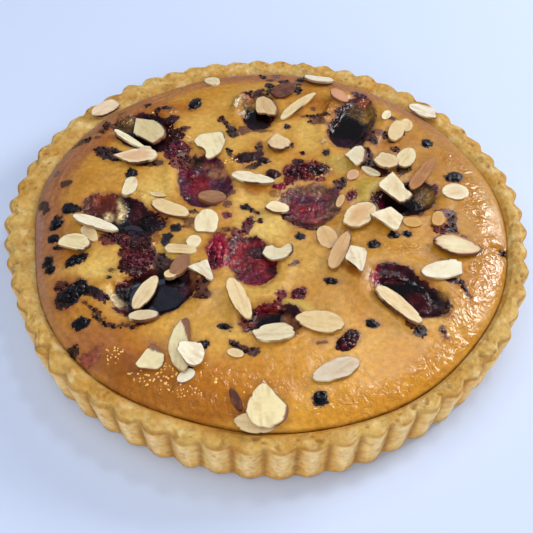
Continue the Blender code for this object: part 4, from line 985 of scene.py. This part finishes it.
def sunk_plan(oval):
    """Plan of a sunk piece of fruit: shares of its reach out to the rim and back, x and y, and
    which rows are its top."""
    share = np.concatenate((np.linspace(0, 0.9, 28), np.linspace(0.92, 1.0, 8),
                            np.cos(np.linspace(0.25, math.pi / 2, 8))))[:, None]
    around = np.linspace(0, 2 * math.pi, FRUIT_COLUMNS, endpoint=False)[None, :]
    reach = share * fruit_outline(around)
    x, y = in_plan(np.cos(around) * reach * oval[2] / 2, np.sin(around) * reach * oval[3] / 2, oval)
    return share, x, y, np.arange(len(share))[:, None] < 36


def build_plums(finish):
    """Plum halves: the top carries on the filling's own surface, over an ellipsoid."""
    for name, *oval, depth, _ in PLUMS:
        share, x, y, above = sunk_plan(oval)
        top = top_height(x, y) + 0.06 - 0.9 * ease(0.955, 1.0, share)
        below = dome(x, y) - 1.7 - depth * np.sqrt(1 - share ** 2)
        rings = in_space(x, y, np.where(above, top, below))
        make_piece("baked_" + name, [shell(rings, **top_look(x, y))], finish, "plum", name)


def build_berries(finish):
    """Large berries: a crown of small juicy cells."""
    for name, *oval, depth, crown in BERRIES:
        share, x, y, above = sunk_plan(oval)
        spot = in_space(x, y)
        cells = bobbles(spot, 2.8, 181)
        arch = crown * 0.7 * np.sqrt(1 - np.minimum(share, 1) ** 2)
        gaps = ease(0.2, 0.6, noise(spot, 6, 185, 2)) * ease(0.3, 0.8, share)
        top = dome(x, y) - 0.5 + arch + (1.5 * cells - 1.0) * ease(1.0, 0.9, share) - 1.6 * gaps
        below = dome(x, y) - 1.3 - depth * np.sqrt(1 - share ** 2)
        rings = in_space(x, y, np.where(above, top - 0.4 * ease(0.95, 1, share), below))
        # The colour is darker between the cells and lighter on their tops: painted shade and painted
        # highlight.
        colour = top_look(x, y)["juice"][..., :3] * (0.25 + 1.0 * cells ** 2)[..., None]
        make_piece("baked_" + name, [shell(rings, **plain_look(colour, 0.85))], finish, "berry", name)


def build_small_fruit(finish):
    """Small berries baked into the filling: crumpled domes, half sunk, in one mesh."""
    shells = []
    around = np.linspace(0, 2 * math.pi, SMALL_COLUMNS, endpoint=False)[None, :]
    tilt = np.linspace(0, math.pi, 18)[:, None]
    reach = np.sin(tilt) ** 0.7
    for *oval, crown, colour in SMALL_FRUIT:
        ragged = 1 + 0.3 * noise(in_space(np.cos(around), np.sin(around), oval[0]), 0.6, 191, 2)
        along = np.cos(around) * reach * ragged * oval[2] * 0.38
        aside = np.sin(around) * reach * ragged * oval[3] * 0.38
        x, y = in_plan(along, aside, oval)
        rise = np.where(np.cos(tilt) > 0, 0.6 * crown * np.cos(tilt), 2.2 * np.cos(tilt))
        spot = in_space(x, y, dome(x, y) + rise - 0.3)
        cells = bobbles(spot, 2.4, 195)
        spot[..., 2] += (1.1 * cells - 0.6) * ease(0.0, 0.3, np.cos(tilt))
        shine = ease(-0.2, 0.6, noise(spot, 2.5, 199, 2))
        # The colour is darker between the cells and lighter on their tops: painted shade and painted
        # highlight.
        shade = SHADES[colour] * ((0.3 + 0.9 * shine) * (0.3 + 0.9 * cells))[..., None]
        shells.append(shell(spot, **plain_look(shade, 0.8)))
    make_piece("small_berries", shells, finish, "berry", "frangipane")


def flake_shell(outline, centre, axes, thickness, rim, heart, skin_direction, skin_spread, seed, broad=0.0):
    """A flaked almond: rings from its middle to a crisp edge and back underneath.

    The outline is in the flake's own plane, and the axes are its heading, its
    side and its normal as columns. The rim is ivory or tan and the heart often
    browner. Brown skin covers the edge on the side of the skin direction. All
    round, the side is darkened: partly brown skin, partly painted contact shadow.
    """
    inward = np.array((0, .2, .4, .56, .7, .8, .88, .94, .975, .99, 1, 1, .985, .95, .88, .7, .4, 0))
    lift = np.array((1, 1, 1, 1, 1, 1, 1, 1, .98, .9, .6, -.6, -.85, -.97, -1, -1, -1, -1))
    flat = inward[:, None, None] * outline[None]
    spot = in_space(flat[..., 0], flat[..., 1], seed * 10)
    camber = 0.25 * noise(spot, 9, 201, 2) + 0.08 * noise(spot, 2.0, 205, 2)
    fibre = noise(in_space(flat[..., 0] / 7, flat[..., 1] / 1.1, seed * 3), 1.0, 207, 2)
    above = (lift > 0.4)[:, None]
    level = lift[:, None] * thickness / 2 + camber + 0.05 * fibre * above
    local = in_space(flat[..., 0], flat[..., 1], level)
    points = local @ axes.T + centre
    direction = np.degrees(np.arctan2(points[..., 1] - centre[1], points[..., 0] - centre[0]))
    aside = np.abs((direction - skin_direction + 180) % 360 - 180)
    ragged = noise(points, 4, 211, 3)
    share = inward[:, None] + 0 * aside
    heart_share = ease(0.95, 0.45, share + 0.2 * ragged)
    cloud = ease(0.1, 0.8, noise(points, 5, 215, 3))
    # worn darkens the flake's side: partly brown skin, partly painted contact shadow.
    worn = ease(0.955, 0.985, share) * ease(-0.6, 0.1, noise(points, 7, 219, 2))
    tint = blend(linear(rim) + np.zeros(points.shape), heart_share, linear(heart))
    tint = 0.82 * layered(tint, (0.3 * cloud, "almond_cloud"), (0.4 * ease(0.0, 0.6, fibre), "almond_fibre"),
                          (0.8 * worn, "almond_edge_skin_and_shadow"))
    if skin_spread:
        cover = ease(skin_spread * 1.1 + 1, skin_spread * 0.8, aside + 12 * ragged)
        edge = np.ones(share.shape) if skin_spread >= 360 else ease(0.87, 0.955, share + 0.04 * ragged)
        tint = layered(tint, (0.94 * cover * edge, "almond_skin"))
        tint = tint * (1 - 0.5 * cover * edge * ease(-0.3, 0.3, noise(points, 1.8, 217, 2)))[..., None]
    if broad:
        heading = math.radians(skin_direction)
        reach = (points - centre)[..., :2] @ np.array((math.cos(heading), math.sin(heading)))
        band = 1 - broad - reach / reach.max() + 0.05 * ragged
        tint = layered(tint, (0.94 * ease(0.03, -0.03, band), "almond_broad_skin"))
    return shell(points, tint=tint, wet=0.15 + 0 * share)


def even_outline(corners, seed):
    """A closed outline through the corners at even spacing, a little worn and chipped."""
    closed = np.vstack((corners, corners[:1]))
    lengths = np.concatenate(([0], np.cumsum(np.linalg.norm(np.diff(closed, axis=0), axis=1))))
    places = np.linspace(0, lengths[-1], FLAKE_COLUMNS, endpoint=False)
    outline = np.stack([np.interp(places, lengths, closed[:, i]) for i in (0, 1)], axis=-1)
    for _ in range(2):
        outline = 0.25 * np.roll(outline, 1, 0) + 0.5 * outline + 0.25 * np.roll(outline, -1, 0)
    spot = in_space(outline[:, 0], outline[:, 1], seed * 7)
    worn = 0.05 * noise(spot, 5, 221, 2) + 0.03 * noise(spot, 1.6, 225, 2)
    chip = 0.07 * ease(0.35, 0.6, noise(spot, 3.5, 229, 2))
    return outline * (1 + worn - chip)[:, None]


def broken_outline(outline, axes, cuts, bites):
    """The outline cut straight across and bitten, both given in the tart's own plan."""
    flat = axes[:2, :2]
    for heading, distance in cuts:
        facing = np.array((math.cos(math.radians(heading)), math.sin(math.radians(heading)))) @ flat
        outline = outline - np.maximum(outline @ facing - distance, 0)[:, None] * facing / (facing @ facing)
    for x, y, radius in bites:
        away = outline - np.array((x, y)) @ flat
        near = np.linalg.norm(away, axis=1, keepdims=True)
        outline = outline + away / near * np.maximum(radius - near, 0)
    return outline


def build_flakes(finish):
    """The free almond flakes, each in the plane and outline of its solid."""
    for number, (name, look) in enumerate(FLAKE_LOOKS.items()):
        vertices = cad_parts[name].data.vertices
        corners = np.empty(len(vertices) * 3)
        vertices.foreach_get("co", corners)
        corners = np.unique((corners.reshape(-1, 3) / MM).round(3), axis=0)
        centre = corners.mean(axis=0)
        axes = np.linalg.svd(corners - centre, full_matrices=False)[2].T
        axes[:, 2] *= np.sign(axes[2, 2])
        axes[:, 1] = np.cross(axes[:, 2], axes[:, 0])
        local = (corners - centre) @ axes
        upper = local[local[:, 2] > 0][:, :2]
        upper = upper[np.argsort(np.arctan2(upper[:, 1], upper[:, 0]))]
        outline = broken_outline(even_outline(upper, number), axes, CUTS.get(name, ()), BITES.get(name, ()))
        flake = flake_shell(outline, centre, axes, np.ptp(local[:, 2]), *look, number,
                            BROAD_SKIN.get(name, 0.0))
        make_piece("flaked_" + name, [flake], finish, "almond", name)


def flake_outline(length, width, turn, tip, breaks):
    """Corners of a small flake: an oval drawn in to a tip at its head, cut by its breaks.

    A break at a distance limits the reach in each direction to that distance
    over the cosine of the angle to the break's own direction.
    """
    angle = np.linspace(0, 2 * math.pi, 40, endpoint=False)
    along = length / 2 * np.cos(angle)
    aside = width / 2 * np.sin(angle) * (1 - tip * (0.5 + 0.5 * np.cos(angle)) ** 1.5)
    direction = np.arctan2(aside, along)
    reach = np.hypot(along, aside)
    for heading, distance in breaks:
        facing = np.cos(direction - math.radians(heading - turn))
        reach = np.where(facing > 0.05, np.minimum(reach, distance / np.maximum(facing, 0.05)), reach)
    return np.stack((reach * np.cos(direction), reach * np.sin(direction)), axis=-1)


def build_fused_flakes(finish):
    """Small flakes and chips baked into the filling, in one mesh."""
    shells = []
    for number, (cx, cy, length, width, turn, tip, breaks, look) in enumerate(FUSED_FLAKES, 50):
        outline = even_outline(flake_outline(length, width, turn, tip, breaks), number)
        angle = math.radians(turn)
        spin = np.array(((math.cos(angle), -math.sin(angle)), (math.sin(angle), math.cos(angle))))
        plan = outline @ spin.T + np.array((cx, cy))
        rows = np.column_stack((plan, np.ones(len(plan))))
        levels = filling_height(plan[:, 0], plan[:, 1])
        slope_x, slope_y, level = np.linalg.lstsq(rows, levels, rcond=None)[0]
        normal = np.array((-slope_x, -slope_y, 1))
        normal /= np.linalg.norm(normal)
        heading = np.array((math.cos(angle), math.sin(angle), 0))
        heading -= heading @ normal * normal
        heading /= np.linalg.norm(heading)
        axes = np.column_stack((heading, np.cross(normal, heading), normal))
        middle = np.array((cx, cy, cx * slope_x + cy * slope_y + level)) - 0.3 * normal
        rim, heart = FUSED_LOOKS[look]
        spread = 360 if look == "skin" else 0
        shells.append(flake_shell(outline, middle, axes, 2.6, rim, heart, 0, spread, number))
    make_piece("small_flakes", shells, finish, "almond", "frangipane")


def bead_shells(places, sizes, flatness, colours, wet):
    """Small beads on the top: flattened balls of 8 by 5 faces at the given places and sizes."""
    around = np.linspace(0, 2 * math.pi, 8, endpoint=False)[None, :]
    tilt = np.linspace(0, math.pi, 6)[:, None]
    levels = top_height(places[:, 0], places[:, 1])
    shells = []
    for (x, y), level, size, colour in zip(places, levels, sizes, colours):
        rings = in_space(x + size * np.sin(tilt) * np.cos(around), y + size * np.sin(tilt) * np.sin(around),
                         level + flatness * size * np.cos(tilt))
        shells.append(shell(rings, **plain_look(np.zeros(rings.shape) + colour, wet)))
    return shells


def scatter(dice, ovals, density):
    """Places at random within ovals, so many for each square millimetre, and each one's oval."""
    places, owners = [], []
    for index, oval in enumerate(ovals):
        count = int(round(density * math.pi / 4 * oval[2] * oval[3]))
        reach = np.sqrt(dice.uniform(0, 1, count))
        angle = dice.uniform(0, 2 * math.pi, count)
        along, aside = reach * np.cos(angle) * oval[2] / 2, reach * np.sin(angle) * oval[3] / 2
        places.append(np.column_stack(in_plan(along, aside, oval)))
        owners += [index] * count
    return np.concatenate(places), np.array(owners)


def build_beads(berry_finish, syrup_finish):
    """Loose cells of burst berries over the dark stains, and set drops of syrup in clusters."""
    dice = np.random.default_rng(23)
    stains = [stain for stain in STAINS if stain[0] in CELL_COLOURS and stain[6] > 0.75]
    places, owners = scatter(dice, [stain[1:6] for stain in stains], 0.16)
    shades = np.array([SHADES[stain[0]] for stain in stains])[owners]
    shades = shades * dice.uniform(0.3, 1.1, len(places))[:, None]
    sizes = dice.uniform(0.6, 1.2, len(places))
    make_piece("burst_berry_cells", bead_shells(places, sizes, 0.6, shades, 0.9), berry_finish,
               "berry", "frangipane")
    places, owners = scatter(dice, [drop[:4] + (0,) for drop in DROPS], 0.26)
    sizes = np.array([drop[4] for drop in DROPS])[owners] * dice.uniform(0.45, 1.0, len(places))
    shades = np.zeros((len(places), 3)) + SHADES["syrup"]
    make_piece("syrup_drops", bead_shells(places, sizes, 0.6, shades, 1.0), syrup_finish,
               "frangipane", "frangipane")


def set_stage():
    """Pale floor, a window at the right, small lights that glint, soft fills, and the camera."""
    bpy.ops.mesh.primitive_plane_add(size=6.0, location=(0, 0, -0.0003))
    floor = bpy.context.object
    floor.name = "pale_floor"
    paper = bpy.data.materials.new("pale_blue_paper")
    paper.use_nodes = True
    shader = paper.node_tree.nodes["Principled BSDF"]
    shader.inputs["Base Color"].default_value = (*SHADES["floor"], 1)
    shader.inputs["Roughness"].default_value = 0.8
    floor.data.materials.append(paper)

    world = bpy.data.worlds.new("soft_room")
    world.use_nodes = True
    world.node_tree.nodes["Background"].inputs["Color"].default_value = (*SHADES["room"], 1)
    world.node_tree.nodes["Background"].inputs["Strength"].default_value = 0.20
    bpy.context.scene.world = world

    for name, azimuth, elevation, distance, size, power, colour, glints in LIGHTS:
        light = bpy.data.lights.new(name, "AREA")
        light.shape = "DISK"
        light.size = size
        light.energy = power
        light.color = linear(colour)
        lamp = bpy.data.objects.new(name, light)
        bpy.context.scene.collection.objects.link(lamp)
        flat, up = math.radians(azimuth), math.radians(elevation)
        place = np.array((math.cos(flat) * math.cos(up), math.sin(flat) * math.cos(up), math.sin(up)))
        lamp.location = place * distance
        lamp.rotation_euler = (math.pi / 2 - up, 0, flat + math.pi / 2)
        lamp.visible_glossy = glints

    back = np.array((0, -math.cos(CAMERA_TILT), math.sin(CAMERA_TILT)))
    across = np.array((1.0, 0, 0))
    upward = np.cross(back, across)
    right = math.cos(CAMERA_ROLL) * across + math.sin(CAMERA_ROLL) * upward
    up = -math.sin(CAMERA_ROLL) * across + math.cos(CAMERA_ROLL) * upward
    data = bpy.data.cameras.new("camera")
    data.sensor_width = SENSOR_WIDTH
    data.lens = CAMERA_REACH / FRAME_WIDTH * SENSOR_WIDTH
    data.clip_start = 0.01
    camera = bpy.data.objects.new("camera", data)
    bpy.context.scene.collection.objects.link(camera)
    matrix = np.eye(4)
    matrix[:3, 0], matrix[:3, 1], matrix[:3, 2] = right, up, back
    matrix[:3, 3] = CAMERA_PLACE
    camera.matrix_world = Matrix(matrix.tolist())
    bpy.context.scene.camera = camera
    bpy.context.scene.view_settings.view_transform = "Standard"


# Shortcrust pastry, baked dry: matt and crumbly, with a little butter shine
crust_finish = make_finish("shortcrust_pastry", 0.20, 2.6, 1.3, 0.60, (0.75, 0.35), False, {"IOR": 1.45})
# Almond frangipane with brushed syrup: matt skin at the back, glassy where the syrup pooled
filling_finish = make_finish("glazed_frangipane", 0.22, 2.4, 0.9, 0.20, (0.55, 0.11), True,
                             {"IOR": 1.45, "Specular IOR Level": 0.75})
# Cooked plum in its own juice: dark and mirror-like where it pooled, duller on the flesh
plum_finish = make_finish("stewed_plum", 0.16, 2.4, 1.1, 0.05, (0.50, 0.05), True,
                          {"IOR": 1.40, "Specular IOR Level": 0.7})
# Cooked berries: dark skin wet with juice
berry_finish = make_finish("cooked_berry", 0.25, 1.6, 0.7, 0.10, (0.50, 0.10), True, {"IOR": 1.40})
# Flaked almond: dry, faintly waxy flesh with fine fibres
almond_finish = make_finish("flaked_almond", 0.07, 2.2, 0.5, 0.05, (0.60, 0.35), False, {"IOR": 1.46})
# Set syrup: small clear golden drops
syrup_finish = make_finish("set_syrup", 0.05, 1.0, 0.5, 0.01, (0.3, 0.08), True, {"IOR": 1.47})

build_crust(crust_finish)
build_filling(filling_finish)
build_plums(plum_finish)
build_berries(berry_finish)
build_small_fruit(berry_finish)
build_flakes(almond_finish)
build_fused_flakes(almond_finish)
build_beads(berry_finish, syrup_finish)
set_stage()
